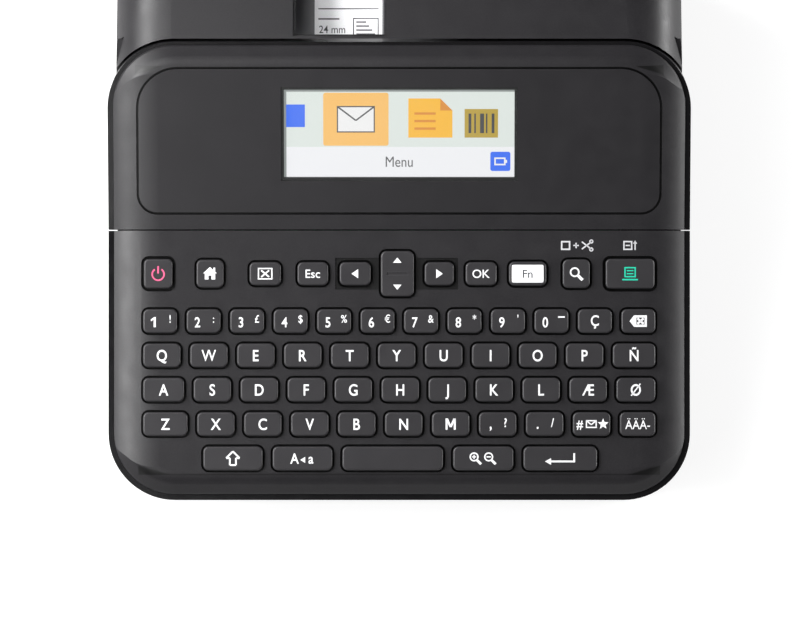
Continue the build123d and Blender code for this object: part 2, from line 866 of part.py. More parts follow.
with BuildPart() as lower_case:
    add(case_form.part)
    extrude(case_outline(case_floor, case_wall), amount=overall_height, mode=Mode.SUBTRACT)
    # Partition in front of the tape compartment
    with BuildSketch(Plane.XY.offset(foot_height + case_wall / 2)):
        with Locations((0, step_y - case_wall / 2)):
            Rectangle(2 * case_half - case_wall, case_wall)
    extrude(amount=overall_height)
    extrude(side_profile(above_case), amount=far, both=True, mode=Mode.SUBTRACT)
    add(beside_cover.part, mode=Mode.SUBTRACT)
    # Posts for the shells' screws, the main board and the chassis
    for x, y, top in case_screws_points:
        with Locations((x, y, foot_height)):
            Cylinder(post_radius, top - foot_height, align=upright)
    for x, y in main_board_posts:
        with Locations((x, y, foot_height)):
            Cylinder(board_post_radius, main_board_z - foot_height, align=upright)
    for x, y in chassis_points:
        with Locations((x, y, foot_height)):
            Cylinder(chassis_post_radius, upper_plate_z - foot_height, align=upright)
    add(around_case.part, mode=Mode.SUBTRACT)
    # Battery bay, with a thicker front wall over the door's travel
    with BuildSketch(Plane.XY.offset(case_floor - case_wall / 2)):
        with Locations((0, (bay_front - door_travel + bay_rear) / 2)):
            Rectangle(bay_length + 2 * bay_wall, bay_depth + door_travel + 2 * bay_wall)
    extrude(amount=bay_roof + bay_wall - case_floor + case_wall / 2)
    with BuildSketch(Plane.XY.offset(case_floor)):
        with Locations((0, (bay_front + bay_rear) / 2)):
            Rectangle(bay_length, bay_depth)
    extrude(amount=bay_roof - case_floor, mode=Mode.SUBTRACT)
    with BuildSketch(Plane.XY.offset(foot_height)):
        with Locations((0, (bay_front - door_travel + bay_rear) / 2)):
            opening_margin = 2 * (door_lip + door_gap)
            Rectangle(bay_length + opening_margin, bay_depth + door_travel + opening_margin)
    extrude(amount=case_wall, mode=Mode.SUBTRACT)
    # Screw holes, sunk from below
    for x, y, top in case_screws_points:
        with Locations((x, y, top)):
            Cylinder(
                screw_radius + screw_gap,
                2 * post_roof,
                mode=Mode.SUBTRACT,
            )
        with Locations((x, y, top - post_roof)):
            Cylinder(
                screw_head_radius + screw_gap,
                overall_height,
                align=(Align.CENTER, Align.CENTER, Align.MAX),
                mode=Mode.SUBTRACT,
            )
    for x, y in chassis_points:
        with Locations((x, y, upper_plate_z)):
            Cylinder(
                screw_radius + screw_gap,
                chassis_post_depth,
                align=(Align.CENTER, Align.CENTER, Align.MAX),
                mode=Mode.SUBTRACT,
            )
    for x, y in foot_points:
        with Locations((x, y, foot_height)):
            Cylinder(foot_radius, foot_recess, align=upright, mode=Mode.SUBTRACT)
    # Tape slot on the left, sockets on the right
    with Locations((-case_half, tape_line, (tape_bottom + tape_top) / 2)):
        Box(3 * case_wall, 2 * tape_margin + 1, tape_width + 2 * tape_margin - 1, mode=Mode.SUBTRACT)
    socket_z = main_board_z + board_thickness + socket_height / 2
    for y, width in ((usb_y, usb_width), (jack_y, jack_width)):
        with Locations((case_half, y, socket_z)):
            Box(3 * case_wall, width + 2 * socket_gap, socket_height + 2 * socket_gap, mode=Mode.SUBTRACT)
    # Hinge: room for the cover's knuckles, and an ear on each side of them
    for middle in hinge_starts:
        with Locations((middle, rear_y, split_height)):
            pocket = 2 * (knuckle_radius + hinge_gap)
            Box(knuckle_length + 2 * hinge_gap, pocket, pocket, mode=Mode.SUBTRACT)
        for side in (-1, 1):
            ear_middle = middle + side * (knuckle_length / 2 + hinge_gap + ear_length / 2)
            with Locations(Location((ear_middle, rear_y, split_height), (0, 90, 0))):
                Cylinder(knuckle_radius, ear_length)
        with Locations(Location((middle, rear_y, split_height), (0, 90, 0))):
            Cylinder(hinge_pin_radius, far / 10, mode=Mode.SUBTRACT)
save(lower_case.part, "lower_case")

pin_length = knuckle_length + 2 * (hinge_gap + ear_length)
with BuildPart() as cover_hinge_pins:
    for middle in hinge_starts:
        with Locations(Location((middle, rear_y, split_height), (0, 90, 0))):
            Cylinder(hinge_pin_radius, pin_length)
save(cover_hinge_pins.part, "cover_hinge_pins")

with BuildPart() as rubber_feet:
    for x, y in foot_points:
        with Locations((x, y, 0)):
            Cylinder(foot_radius, foot_height + foot_recess, align=upright)
    bottom_edges = edges_at(rubber_feet, Plane.XY, 0)
    chamfer(bottom_edges, foot_recess)
save(rubber_feet.part, "rubber_feet")


def add_screw(x, y, head_z, direction, length):
    """One pan-head screw whose head bears on head_z and whose shank points along direction."""
    toward = Align.MIN if direction > 0 else Align.MAX
    away = Align.MAX if direction > 0 else Align.MIN
    with Locations((x, y, head_z)):
        Cylinder(screw_radius, length, align=(Align.CENTER, Align.CENTER, toward))
        Cylinder(screw_head_radius, screw_head_height, align=(Align.CENTER, Align.CENTER, away))


with BuildPart() as case_screws:
    for x, y, top in case_screws_points:
        add_screw(x, y, top - post_roof, 1, post_roof + screw_bite)
save(case_screws.part, "case_screws")

with BuildPart() as chassis_screws:
    for x, y in chassis_points:
        add_screw(x, y, cassette_floor, -1, chassis_thickness + chassis_post_depth - 1)
save(chassis_screws.part, "chassis_screws")

# Battery door, cells and contact plates
with BuildPart() as battery_cover:
    with BuildSketch(Plane.XY.offset(foot_height)):
        with Locations((0, (bay_front + bay_rear) / 2)):
            Rectangle(bay_length + 2 * door_lip, bay_depth + 2 * door_lip)
    extrude(amount=door_thickness)
    grip_width = bay_length / 5
    with BuildSketch(Plane.XY.offset(foot_height)):
        with Locations((0, bay_front + 2 * bay_wall)):
            with GridLocations(0, bay_wall, 1, 3):
                SlotOverall(grip_width, bay_wall / 2)
    extrude(amount=door_thickness / 3, mode=Mode.SUBTRACT)
save(battery_cover.part, "battery_cover")

cell_places = []
for row in range(cell_rows):
    for column in range(cells_per_row):
        start = -bay_length / 2 + contact_thickness + cell_gap + column * (cell_length + nub_length)
        middle_y = bay_front + cell_gap + cell_radius + row * (2 * cell_radius + cell_gap)
        cell_places.append((start, middle_y))
lying = (Align.CENTER, Align.CENTER, Align.MIN)
with BuildPart() as battery_cells:
    for start, middle_y in cell_places:
        with Locations(Location((start, middle_y, cell_z), (0, 90, 0))):
            Cylinder(cell_radius, cell_length - cell_gap, align=lying)
        with Locations(Location((start + cell_length - cell_gap, middle_y, cell_z), (0, 90, 0))):
            Cylinder(nub_radius, nub_length, align=lying)
save(battery_cells.part, "battery_cells")

with BuildPart() as battery_contacts:
    for side in (-1, 1):
        for row in range(cell_rows):
            middle_y = bay_front + cell_gap + cell_radius + row * (2 * cell_radius + cell_gap)
            with Locations((side * (bay_length - contact_thickness) / 2, middle_y, cell_z)):
                Box(contact_thickness, contact_size, contact_size)
save(battery_contacts.part, "battery_contacts")

# Main board with its two sockets
with BuildPart() as main_board:
    with BuildSketch(Plane.XY.offset(main_board_z)):
        middle_x = (main_board_left + main_board_right) / 2
        with Locations((middle_x, (main_board_front + main_board_rear) / 2)):
            Rectangle(main_board_right - main_board_left, main_board_rear - main_board_front)
    extrude(amount=board_thickness)
save(main_board.part, "main_board")

socket_face = case_half - socket_recess
with BuildPart() as usb_port:
    with Locations((socket_face, usb_y, main_board_z + board_thickness)):
        Box(usb_length, usb_width, socket_height, align=(Align.MAX, Align.CENTER, Align.MIN))
    with Locations((socket_face, usb_y, socket_z)):
        opening = usb_width * 0.7
        Box(usb_length, opening, opening, mode=Mode.SUBTRACT)
        Box(usb_length, opening / 2, opening / 3, align=(Align.MAX, Align.CENTER, Align.CENTER))
save(usb_port.part, "usb_port")

with BuildPart() as dc_jack:
    with Locations((socket_face, jack_y, main_board_z + board_thickness)):
        Box(jack_length, jack_width, socket_height, align=(Align.MAX, Align.CENTER, Align.MIN))
    with Locations(Location((socket_face, jack_y, socket_z), (0, 90, 0))):
        Cylinder(jack_bore, jack_length, mode=Mode.SUBTRACT)
        Cylinder(jack_pin_radius, jack_length, align=(Align.CENTER, Align.CENTER, Align.MAX))
save(dc_jack.part, "dc_jack")

# Tape cover: wraps round the display housing's rear corners
below_cover = [
    (-far, slope_height(display_tilt, -far, shell_gap_depth - hinge_gap)),
    (step_y + hinge_gap, slope_height(display_tilt, step_y + hinge_gap, shell_gap_depth - hinge_gap)),
    (step_y + hinge_gap, -far),
    (-far, -far),
]


window_middle_x = (window_left + window_right) / 2
cover_reach = display_length + cover_gap
cover_rise = seam_z + cover_reach * math.sin(display_tilt) - cover_top
cover_front = seam_y + cover_reach * math.cos(display_tilt) + cover_rise * math.tan(display_tilt)
window_middle_y = cover_front + window_bar + window_length / 2
window_width = window_right - window_left
with BuildPart() as cover_inside:
    add(cover_form(cover_bottom - cover_wall, cover_wall))
    add(cover_roll_off(cover_wall), mode=Mode.SUBTRACT)

with BuildPart() as tape_cover:
    add(cover_form(cover_bottom, 0))
    add(cover_roll_off(0), mode=Mode.SUBTRACT)
    add(cover_inside.part, mode=Mode.SUBTRACT)
    shell_room = shell_top_outline(display_plane, 2 * shell_depth, 0, display_length + cover_gap, -cover_gap)
    extrude(shell_room, amount=4 * shell_depth, mode=Mode.SUBTRACT)
    extrude(side_profile(below_cover), amount=far, both=True, mode=Mode.SUBTRACT)
    with BuildSketch(Plane.XY.offset(cover_top)):
        with Locations((window_middle_x, window_middle_y)):
            Rectangle(window_width, window_length)
    extrude(amount=-(window_thickness + window_recess), mode=Mode.SUBTRACT)
    with BuildSketch(Plane.XY.offset(cover_top)):
        with Locations((window_middle_x, window_middle_y)):
            Rectangle(window_width - 2 * window_ledge, window_length - 2 * window_ledge)
    extrude(amount=-2 * cover_wall, mode=Mode.SUBTRACT)
    for middle in hinge_starts:
        for side in (-1, 1):
            ear_middle = middle + side * (knuckle_length / 2 + hinge_gap + ear_length / 2)
            with Locations(Location((ear_middle, rear_y, split_height), (0, 90, 0))):
                Cylinder(knuckle_radius + hinge_gap, ear_length + 2 * hinge_gap, mode=Mode.SUBTRACT)
        with Locations(Location((middle, rear_y, split_height), (0, 90, 0))):
            Cylinder(knuckle_radius, knuckle_length)
            Cylinder(hinge_pin_radius + running_gap, pin_length, mode=Mode.SUBTRACT)
save(tape_cover.part, "tape_cover")

with BuildPart() as tape_cover_window:
    with BuildSketch(Plane.XY.offset(cover_top - window_recess)):
        with Locations((window_middle_x, window_middle_y)):
            Rectangle(window_width - 2 * window_gap, window_length - 2 * window_gap)
    extrude(amount=-window_thickness)
save(tape_cover_window.part, "tape_cover_window")

# Mechanism chassis: upper and lower plates, spacers and the holder's pivot post
spindle_hole = spindle_shaft_radius + running_gap
lower_plate_front = chassis_front + spacer_margin / 2
spacer_points = [
    (x, y)
    for x in (lower_plate_left + spacer_margin, lower_plate_right - spacer_margin)
    for y in (lower_plate_front + spacer_margin / 2, lower_plate_rear - spacer_margin / 2)
]
holder_top = tape_top + tape_margin
release_travel = (holder_pivot_x - platen_x) * math.sin(math.radians(holder_release))
with BuildPart() as mechanism_chassis:
    with BuildSketch(Plane.XY.offset(upper_plate_z)):
        with Locations(((chassis_left + chassis_right) / 2, (chassis_front + chassis_rear) / 2)):
            Rectangle(chassis_right - chassis_left, chassis_rear - chassis_front)
        with Locations(*chassis_points):
            Circle(screw_radius + screw_gap, mode=Mode.SUBTRACT)
        with Locations((spindle_x, spindle_y)):
            Circle(spindle_hole, mode=Mode.SUBTRACT)
        with Locations((platen_x, platen_y + release_travel / 2)):
            slot_width = 2 * (platen_shaft_radius + holder_gap)
            Rectangle(slot_width, slot_width + release_travel, mode=Mode.SUBTRACT)
    extrude(amount=chassis_thickness)
    with BuildSketch(Plane.XY.offset(lower_plate_z)):
        plate_x = (lower_plate_left + lower_plate_right) / 2
        with Locations((plate_x, (lower_plate_front + lower_plate_rear) / 2)):
            Rectangle(lower_plate_right - lower_plate_left, lower_plate_rear - lower_plate_front)
        with Locations((spindle_x, spindle_y)):
            Circle(spindle_hole, mode=Mode.SUBTRACT)
        with Locations((pinion_x, spindle_y)):
            Circle(3 * motor_shaft_radius, mode=Mode.SUBTRACT)
    extrude(amount=chassis_thickness)
    with BuildSketch(Plane.XY.offset(lower_plate_z)):
        with Locations(*spacer_points):
            Circle(spacer_radius)
    extrude(amount=gear_room + 2 * chassis_thickness)
    with Locations((holder_pivot_x, holder_pivot_y, upper_plate_z)):
        Cylinder(holder_pivot_radius, holder_top - upper_plate_z, align=upright)
save(mechanism_chassis.part, "mechanism_chassis")

# Drive motor, pinion, and ribbon spindle with its gear
motor_top = lower_plate_z
with BuildPart() as drive_motor:
    with Locations((pinion_x, spindle_y, motor_top)):
        Cylinder(motor_radius, motor_height, align=(Align.CENTER, Align.CENTER, Align.MAX))
        Cylinder(
            motor_shaft_radius + running_gap,
            motor_shaft_depth,
            align=(Align.CENTER, Align.CENTER, Align.MAX),
            mode=Mode.SUBTRACT,
        )
save(drive_motor.part, "drive_motor")

platen_angle = 180 - platen_run
spindle_phase = platen_angle
platen_phase = platen_angle + 180 + 180 / platen_teeth
teeth_to_pinion = (180 - spindle_phase) * spindle_teeth / 360
pinion_phase = 180 / pinion_teeth - (teeth_to_pinion % 1) * 360 / pinion_teeth
with BuildPart() as motor_pinion:
    with Locations((pinion_x, spindle_y, motor_top - motor_shaft_depth + running_gap)):
        Cylinder(motor_shaft_radius, gear_z + gear_width - motor_top + motor_shaft_depth, align=upright)
    gear_plane = Plane((pinion_x, spindle_y, gear_z))
    extrude(gear_outline(gear_plane, pinion_teeth, pinion_phase), amount=gear_width)
save(motor_pinion.part, "motor_pinion")

with BuildPart() as ribbon_spindle:
    gear_plane = Plane((spindle_x, spindle_y, gear_z))
    extrude(gear_outline(gear_plane, spindle_teeth, spindle_phase), amount=gear_width)
    with Locations((spindle_x, spindle_y, lower_plate_z)):
        Cylinder(spindle_shaft_radius, cassette_floor - lower_plate_z + spindle_height, align=upright)
    with BuildSketch(Plane((spindle_x, spindle_y, cassette_floor + tape_margin / 2))):
        Circle(spindle_radius - spindle_rib)
        with PolarLocations(0, spindle_ribs):
            Rectangle(spindle_radius, spindle_rib, align=(Align.MIN, Align.CENTER))
    extrude(amount=spindle_height)
save(ribbon_spindle.part, "ribbon_spindle")

# Roller holder with the platen roller and its gear
holder_back_y = platen_y + platen_radius + holder_gap
holder_left = platen_x - holder_reach
holder_front = platen_y - platen_shaft_radius - spindle_rib
holder_middle_x = (holder_left + holder_pivot_x) / 2
holder_middle_y = (holder_front + holder_back_y + holder_back) / 2
holder_bottom = cassette_floor + holder_gap
with BuildPart() as roller_holder:
    with BuildSketch(Plane.XY.offset(holder_bottom)):
        with Locations((holder_middle_x, holder_middle_y)):
            Rectangle(holder_pivot_x - holder_left, holder_back_y + holder_back - holder_front)
        with Locations((holder_pivot_x, holder_pivot_y)):
            Circle(holder_barrel_radius)
    extrude(amount=holder_arm)
    with BuildSketch(Plane.XY.offset(holder_bottom + holder_arm)):
        with Locations((holder_middle_x, holder_back_y + holder_back / 2)):
            Rectangle(holder_pivot_x - holder_left, holder_back)
        with Locations((holder_pivot_x, holder_pivot_y)):
            Circle(holder_barrel_radius)
    extrude(amount=holder_top - holder_bottom - 2 * holder_arm)
    with BuildSketch(Plane.XY.offset(holder_top - holder_arm)):
        with Locations((holder_middle_x, holder_middle_y)):
            Rectangle(holder_pivot_x - holder_left, holder_back_y + holder_back - holder_front)
        with Locations((holder_pivot_x, holder_pivot_y)):
            Circle(holder_barrel_radius)
    extrude(amount=holder_arm)
    with Locations((holder_pivot_x, holder_pivot_y, holder_bottom)):
        Cylinder(holder_pivot_radius + running_gap, far, mode=Mode.SUBTRACT)
    with Locations((platen_x, platen_y, holder_bottom)):
        Cylinder(platen_shaft_radius + running_gap, far, mode=Mode.SUBTRACT)
save(roller_holder.part, "roller_holder")

with BuildPart() as platen_roller:
    with Locations((platen_x, platen_y, gear_z)):
        Cylinder(platen_shaft_radius, holder_top - gear_z, align=upright)
    with Locations((platen_x, platen_y, holder_bottom + holder_arm + holder_gap)):
        Cylinder(platen_radius, holder_top - holder_bottom - 2 * (holder_arm + holder_gap), align=upright)
save(platen_roller.part, "platen_roller")

with BuildPart() as platen_gear:
    gear_plane = Plane((platen_x, platen_y, gear_z))
    extrude(gear_outline(gear_plane, platen_teeth, platen_phase), amount=gear_width)
    with Locations((platen_x, platen_y, gear_z)):
        Cylinder(platen_shaft_radius, 2 * gear_width, align=upright, mode=Mode.SUBTRACT)
save(platen_gear.part, "platen_gear")

# Print head and its heat sink, standing on the chassis in the cassette's bay
head_back = tape_line - head_gap - head_thickness
with BuildPart() as print_head:
    with Locations((platen_x, head_back, cassette_floor)):
        Box(head_width, head_thickness, tape_top - cassette_floor, align=(Align.CENTER, Align.MIN, Align.MIN))
save(print_head.part, "print_head")

with BuildPart() as head_heat_sink:
    with Locations((platen_x, head_back, cassette_floor)):
        sink_height = tape_top - cassette_floor - sink_drop
        Box(sink_width, sink_thickness, sink_height, align=(Align.CENTER, Align.MAX, Align.MIN))
save(head_heat_sink.part, "head_heat_sink")

# Tape cassette: tray, lid, sticker, tape reel and ribbon spool
cassette_middle_x = (cassette_left + cassette_right) / 2
cassette_middle_y = (cassette_front + cassette_rear) / 2


def cassette_outline(height, inset):
    """Plan of the cassette with the bay for the print head left open."""
    with BuildSketch(Plane.XY.offset(height)) as outline:
        with Locations((cassette_middle_x, cassette_middle_y)):
            RectangleRounded(
                cassette_width - 2 * inset,
                cassette_rear - cassette_front - 2 * inset,
                cassette_radius - inset,
            )
        bay_length_y = cassette_rear - head_bay_front + inset
        with Locations(((head_bay_left + head_bay_right) / 2, head_bay_front - inset)):
            Rectangle(
                head_bay_right - head_bay_left + 2 * inset,
                bay_length_y,
                align=(Align.CENTER, Align.MIN),
                mode=Mode.SUBTRACT,
            )
    return outline.sketch


lid_bottom = cassette_top - cassette_wall
with BuildPart() as cassette_tray:
    extrude(cassette_outline(cassette_floor, 0), amount=cassette_height - cassette_wall)
    extrude(cassette_outline(cassette_floor + cassette_wall, cassette_wall), amount=far, mode=Mode.SUBTRACT)
    with Locations((reel_x, reel_y, cassette_floor)):
        Cylinder(reel_bore, cassette_height - cassette_wall - holder_gap, align=upright)
    with Locations((spindle_x, spindle_y, cassette_floor)):
        Cylinder(spindle_radius + spindle_rib, 3 * cassette_wall, mode=Mode.SUBTRACT)
save(cassette_tray.part, "cassette_tray")

with BuildPart() as cassette_lid:
    extrude(cassette_outline(lid_bottom, 0), amount=cassette_wall)
save(cassette_lid.part, "cassette_lid")

with BuildPart() as cassette_label:
    with Locations(((label_left + label_right) / 2, cassette_front + label_margin, cassette_top)):
        label_length = head_bay_front - cassette_front - 2 * label_margin
        Box(
            label_right - label_left,
            label_length,
            label_thickness,
            align=(Align.CENTER, Align.MIN, Align.MIN),
        )
save(cassette_label.part, "cassette_label")

reel_bottom = cassette_floor + cassette_wall + reel_lift
with BuildPart() as tape_reel:
    with Locations((reel_x, reel_y, reel_bottom)):
        Cylinder(reel_radius, tape_width, align=upright)
        Cylinder(reel_bore + running_gap, far, mode=Mode.SUBTRACT)
save(tape_reel.part, "tape_reel")

with BuildPart() as ribbon_spool:
    with Locations((spindle_x, spindle_y, reel_bottom)):
        Cylinder(spool_radius, tape_width, align=upright)
        Cylinder(spindle_radius + spool_gap, far, mode=Mode.SUBTRACT)
save(ribbon_spool.part, "ribbon_spool")

# Cutter: fixed blade plate, swinging blade, crank and motor
fixed_right = blade_x + blade_thickness
moving_x = blade_x - blade_gap - blade_thickness
crank_x = moving_x - 2 * blade_gap - crank_thickness
side_axis = (0, 90, 0)
with BuildPart() as fixed_blade:
    with Locations((fixed_right, (fixed_front + fixed_rear) / 2, (fixed_bottom + fixed_top) / 2)):
        Box(
            blade_thickness,
            fixed_rear - fixed_front,
            fixed_top - fixed_bottom,
            align=(Align.MAX, Align.CENTER, Align.CENTER),
        )
    window_height = tape_width + tape_margin
    with Locations((fixed_right, fixed_edge, tape_bottom - tape_margin / 2)):
        Box(
            4 * blade_thickness,
            fixed_edge - fixed_front - blade_width,
            window_height,
            align=(Align.CENTER, Align.MAX, Align.MIN),
            mode=Mode.SUBTRACT,
        )
    with Locations(Location((blade_x, blade_pivot_y, blade_pivot_z), side_axis)):
        Cylinder(
            blade_pivot_radius,
            blade_gap + 1.5 * blade_thickness,
            align=(Align.CENTER, Align.CENTER, Align.MAX),
        )
    with Locations(Location((fixed_right, crank_y, crank_z), side_axis)):
        Cylinder(2 * crank_pin_radius, 4 * blade_thickness, mode=Mode.SUBTRACT)
save(fixed_blade.part, "fixed_blade")

opening_tilt = math.radians(blade_opening)
blade_plane = Plane(
    origin=(moving_x, blade_pivot_y, blade_pivot_z),
    x_dir=(0, math.cos(opening_tilt), math.sin(opening_tilt)),
    z_dir=(1, 0, 0),
)
with BuildPart() as moving_blade:
    with BuildSketch(blade_plane):
        with Locations((blade_edge - blade_width / 2, blade_reach / 2)):
            Rectangle(blade_width, blade_reach)
        with Locations((0, -blade_tail / 2)):
            Rectangle(fork_width, blade_tail)
        Circle(2.2 * blade_pivot_radius)
        Circle(blade_pivot_radius + running_gap, mode=Mode.SUBTRACT)
        with Locations((0, -blade_tail)):
            Rectangle(fork_slot, 2 * fork_depth, mode=Mode.SUBTRACT)
    extrude(amount=blade_thickness)
save(moving_blade.part, "moving_blade")

crank_plane = Plane(origin=(crank_x, crank_y, crank_z), x_dir=(0, 1, 0), z_dir=(1, 0, 0))
start_angle = math.radians(crank_start)
pin_place = (crank_radius * math.cos(start_angle), crank_radius * math.sin(start_angle))
with BuildPart() as cutter_crank:
    with BuildSketch(crank_plane):
        Circle(crank_hub_radius)
        with Locations(pin_place):
            Circle(1.6 * crank_pin_radius)
        with Locations(Location((0, 0, 0), (0, 0, crank_start))):
            Rectangle(crank_radius, 3 * crank_pin_radius, align=(Align.MIN, Align.CENTER))
    extrude(amount=crank_thickness)
    with BuildSketch(crank_plane):
        with Locations(pin_place):
            Circle(crank_pin_radius)
    extrude(amount=crank_thickness + 2 * blade_gap + 0.8 * blade_thickness)
    with BuildSketch(crank_plane):
        Circle(crank_pin_radius)
    extrude(amount=fixed_right - crank_x + crank_shaft_depth - 2 * blade_gap)
save(cutter_crank.part, "cutter_crank")

with BuildPart() as cutter_motor:
    with Locations((fixed_right, crank_y, crank_z)):
        Box(
            cutter_motor_length,
            cutter_motor_width,
            cutter_motor_width,
            align=(Align.MIN, Align.CENTER, Align.CENTER),
        )
    with Locations(Location((fixed_right, crank_y, crank_z), side_axis)):
        Cylinder(
            crank_pin_radius + running_gap,
            crank_shaft_depth,
            align=(Align.CENTER, Align.CENTER, Align.MIN),
            mode=Mode.SUBTRACT,
        )
save(cutter_motor.part, "cutter_motor")
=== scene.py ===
import math
import bpy
from mathutils import Matrix, Vector


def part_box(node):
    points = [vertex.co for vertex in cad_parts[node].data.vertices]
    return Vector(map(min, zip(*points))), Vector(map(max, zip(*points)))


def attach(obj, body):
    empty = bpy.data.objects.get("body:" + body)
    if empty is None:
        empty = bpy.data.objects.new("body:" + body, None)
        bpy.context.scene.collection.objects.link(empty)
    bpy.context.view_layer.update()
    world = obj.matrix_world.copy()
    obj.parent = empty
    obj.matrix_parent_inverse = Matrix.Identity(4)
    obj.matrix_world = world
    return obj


# Looks of a desktop label maker: moulded plastics, key legends, a lit display and a printed cassette
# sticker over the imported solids. Metres in the scene, millimetres in the drawings.
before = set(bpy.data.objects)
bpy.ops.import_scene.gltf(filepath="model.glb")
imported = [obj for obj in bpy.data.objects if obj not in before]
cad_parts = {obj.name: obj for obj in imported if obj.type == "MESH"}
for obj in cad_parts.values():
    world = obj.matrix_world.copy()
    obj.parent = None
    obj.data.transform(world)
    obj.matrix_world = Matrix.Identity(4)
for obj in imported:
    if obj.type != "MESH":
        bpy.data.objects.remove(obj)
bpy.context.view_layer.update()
scene = bpy.context.scene
mm = 0.001

# Sizes that the solids have too: the seam between the two sloping shells, the keys, the screen,
# the ledge round the shells and the roll of their tops towards the sides
seam_y = -16.192
seam_z = 62.003
deck_tilt = math.radians(16.0)
display_tilt = math.radians(26.0)
cap_rise = 1.3
key_field = 170.1
key_gap = 1.65
row_shift = 1.15
number_count = 12
letter_count = 11
function_row = -14.2
number_row = -29.8
row_pitch = 11.3
lens_depth = 2.8
screen_width = 75.8
screen_height = 29.1
screen_middle = 32.05
cassette_label_top = 70.7
ledge_depth = 5.0
roll_start = 79.0
roll_width = 15.1
roll_drop = 4.6
# Printed layers
ink_thickness = 0.05
ink_rise = 0.03


def linear(*values):
    """Screen colour from 0 to 255 as the linear colour that shaders use."""
    shares = [value / 255 for value in values]
    channels = [share / 12.92 if share <= 0.04045 else ((share + 0.055) / 1.055) ** 2.4 for share in shares]
    return (*channels, 1.0)


def slope_frame(tilt):
    """Frame on a sloping shell: across, up the slope, and out of it."""
    right = Vector((1, 0, 0))
    up = Vector((0, math.cos(tilt), math.sin(tilt)))
    out = right.cross(up)
    place = Matrix((right, up, out)).transposed().to_4x4()
    place.translation = Vector((0, seam_y, seam_z)) * mm
    return place


deck_frame = slope_frame(deck_tilt)
display_frame = slope_frame(display_tilt)
flat_frame = Matrix.Identity(4)

# Fields with gaps in them: frame, half width, front and back
key_field_place = (deck_frame, 86.0, -80.5, -4.0)
panel_place = (display_frame, 86.8, 5.0, 54.6)


# Procedural materials
def start_material(name, colour, roughness):
    """Material with its shader's plain values set."""
    material = bpy.data.materials.new(name)
    material.use_nodes = True
    shader = material.node_tree.nodes["Principled BSDF"]
    shader.inputs["Base Color"].default_value = colour
    shader.inputs["Roughness"].default_value = roughness
    return material, material.node_tree, shader


def noise(tree, size, detail=2.0, stretch=(1, 1, 1)):
    """Noise whose features measure about size in millimetres."""
    place = tree.nodes.new("ShaderNodeTexCoord")
    mapping = tree.nodes.new("ShaderNodeMapping")
    mapping.inputs["Scale"].default_value = stretch
    texture = tree.nodes.new("ShaderNodeTexNoise")
    texture.inputs["Scale"].default_value = 1 / (size * mm)
    texture.inputs["Detail"].default_value = detail
    tree.links.new(place.outputs["Object"], mapping.inputs["Vector"])
    tree.links.new(mapping.outputs["Vector"], texture.inputs["Vector"])
    return texture.outputs["Fac"]


def spread(tree, value, low, high, start=0.3, end=0.7):
    """The value's range from start to end, mapped to low and high."""
    node = tree.nodes.new("ShaderNodeMapRange")
    node.inputs["From Min"].default_value = start
    node.inputs["From Max"].default_value = end
    node.inputs["To Min"].default_value = low
    node.inputs["To Max"].default_value = high
    tree.links.new(value, node.inputs["Value"])
    return node.outputs["Result"]


def mixed(tree, share, first, second):
    """Colour between two colours; each may be a plain colour or a socket."""
    node = tree.nodes.new("ShaderNodeMix")
    node.data_type = "RGBA"
    tree.links.new(share, node.inputs["Factor"])
    for socket, colour in ((node.inputs[6], first), (node.inputs[7], second)):
        if isinstance(colour, tuple):
            socket.default_value = colour
        else:
            tree.links.new(colour, socket)
    return node.outputs[2]


def shaded(colour, factor):
    """A colour made lighter or darker."""
    return (*[min(1.0, channel * factor) for channel in colour[:3]], 1.0)


def add_bump(tree, shader, value, strength, depth):
    """Bump of the given depth in millimetres."""
    bump = tree.nodes.new("ShaderNodeBump")
    bump.inputs["Strength"].default_value = strength
    bump.inputs["Distance"].default_value = depth * mm
    tree.links.new(value, bump.inputs["Height"])
    tree.links.new(bump.outputs["Normal"], shader.inputs["Normal"])


def calculated(tree, operation, first, second):
    """Result of a sum on a socket and a number or another socket."""
    node = tree.nodes.new("ShaderNodeMath")
    node.operation = operation
    for socket, value in ((node.inputs[0], first), (node.inputs[1], second)):
        if isinstance(value, float):
            socket.default_value = value
        else:
            tree.links.new(value, socket)
    return node.outputs["Value"]


def coordinate(tree, place, axis):
    """Distance in metres along one axis of a sloping frame: 0 across, 1 up the slope, 2 out of it."""
    coordinates = tree.nodes.new("ShaderNodeTexCoord")
    offset = tree.nodes.new("ShaderNodeVectorMath")
    offset.operation = "SUBTRACT"
    offset.inputs[1].default_value = place.translation
    dot = tree.nodes.new("ShaderNodeVectorMath")
    dot.operation = "DOT_PRODUCT"
    dot.inputs[1].default_value = place.col[axis][:3]
    tree.links.new(coordinates.outputs["Object"], offset.inputs[0])
    tree.links.new(offset.outputs["Vector"], dot.inputs[0])
    return dot.outputs["Value"]


def worn_and_highlit_edges(tree, radius):
    """Share of edge lightening, from worn plastic and from painted highlight: 0 on flat faces, rising towards
    outer edges.
    """
    bevel = tree.nodes.new("ShaderNodeBevel")
    bevel.inputs["Radius"].default_value = radius * mm
    geometry = tree.nodes.new("ShaderNodeNewGeometry")
    dot = tree.nodes.new("ShaderNodeVectorMath")
    dot.operation = "DOT_PRODUCT"
    tree.links.new(bevel.outputs["Normal"], dot.inputs[0])
    tree.links.new(geometry.outputs["True Normal"], dot.inputs[1])
    return spread(tree, dot.outputs["Value"], 1.0, 0.0, 0.85, 1.0)


# Half the width of the blend at a limit, and half the height of the band that counts as the ledge
limit_blend = 0.05
ledge_band = 0.3


def under(tree, value, limit):
    """1 where a distance is under a limit in millimetres, and 0 where it is over it."""
    return spread(tree, value, 1.0, 0.0, (limit - limit_blend) * mm, (limit + limit_blend) * mm)


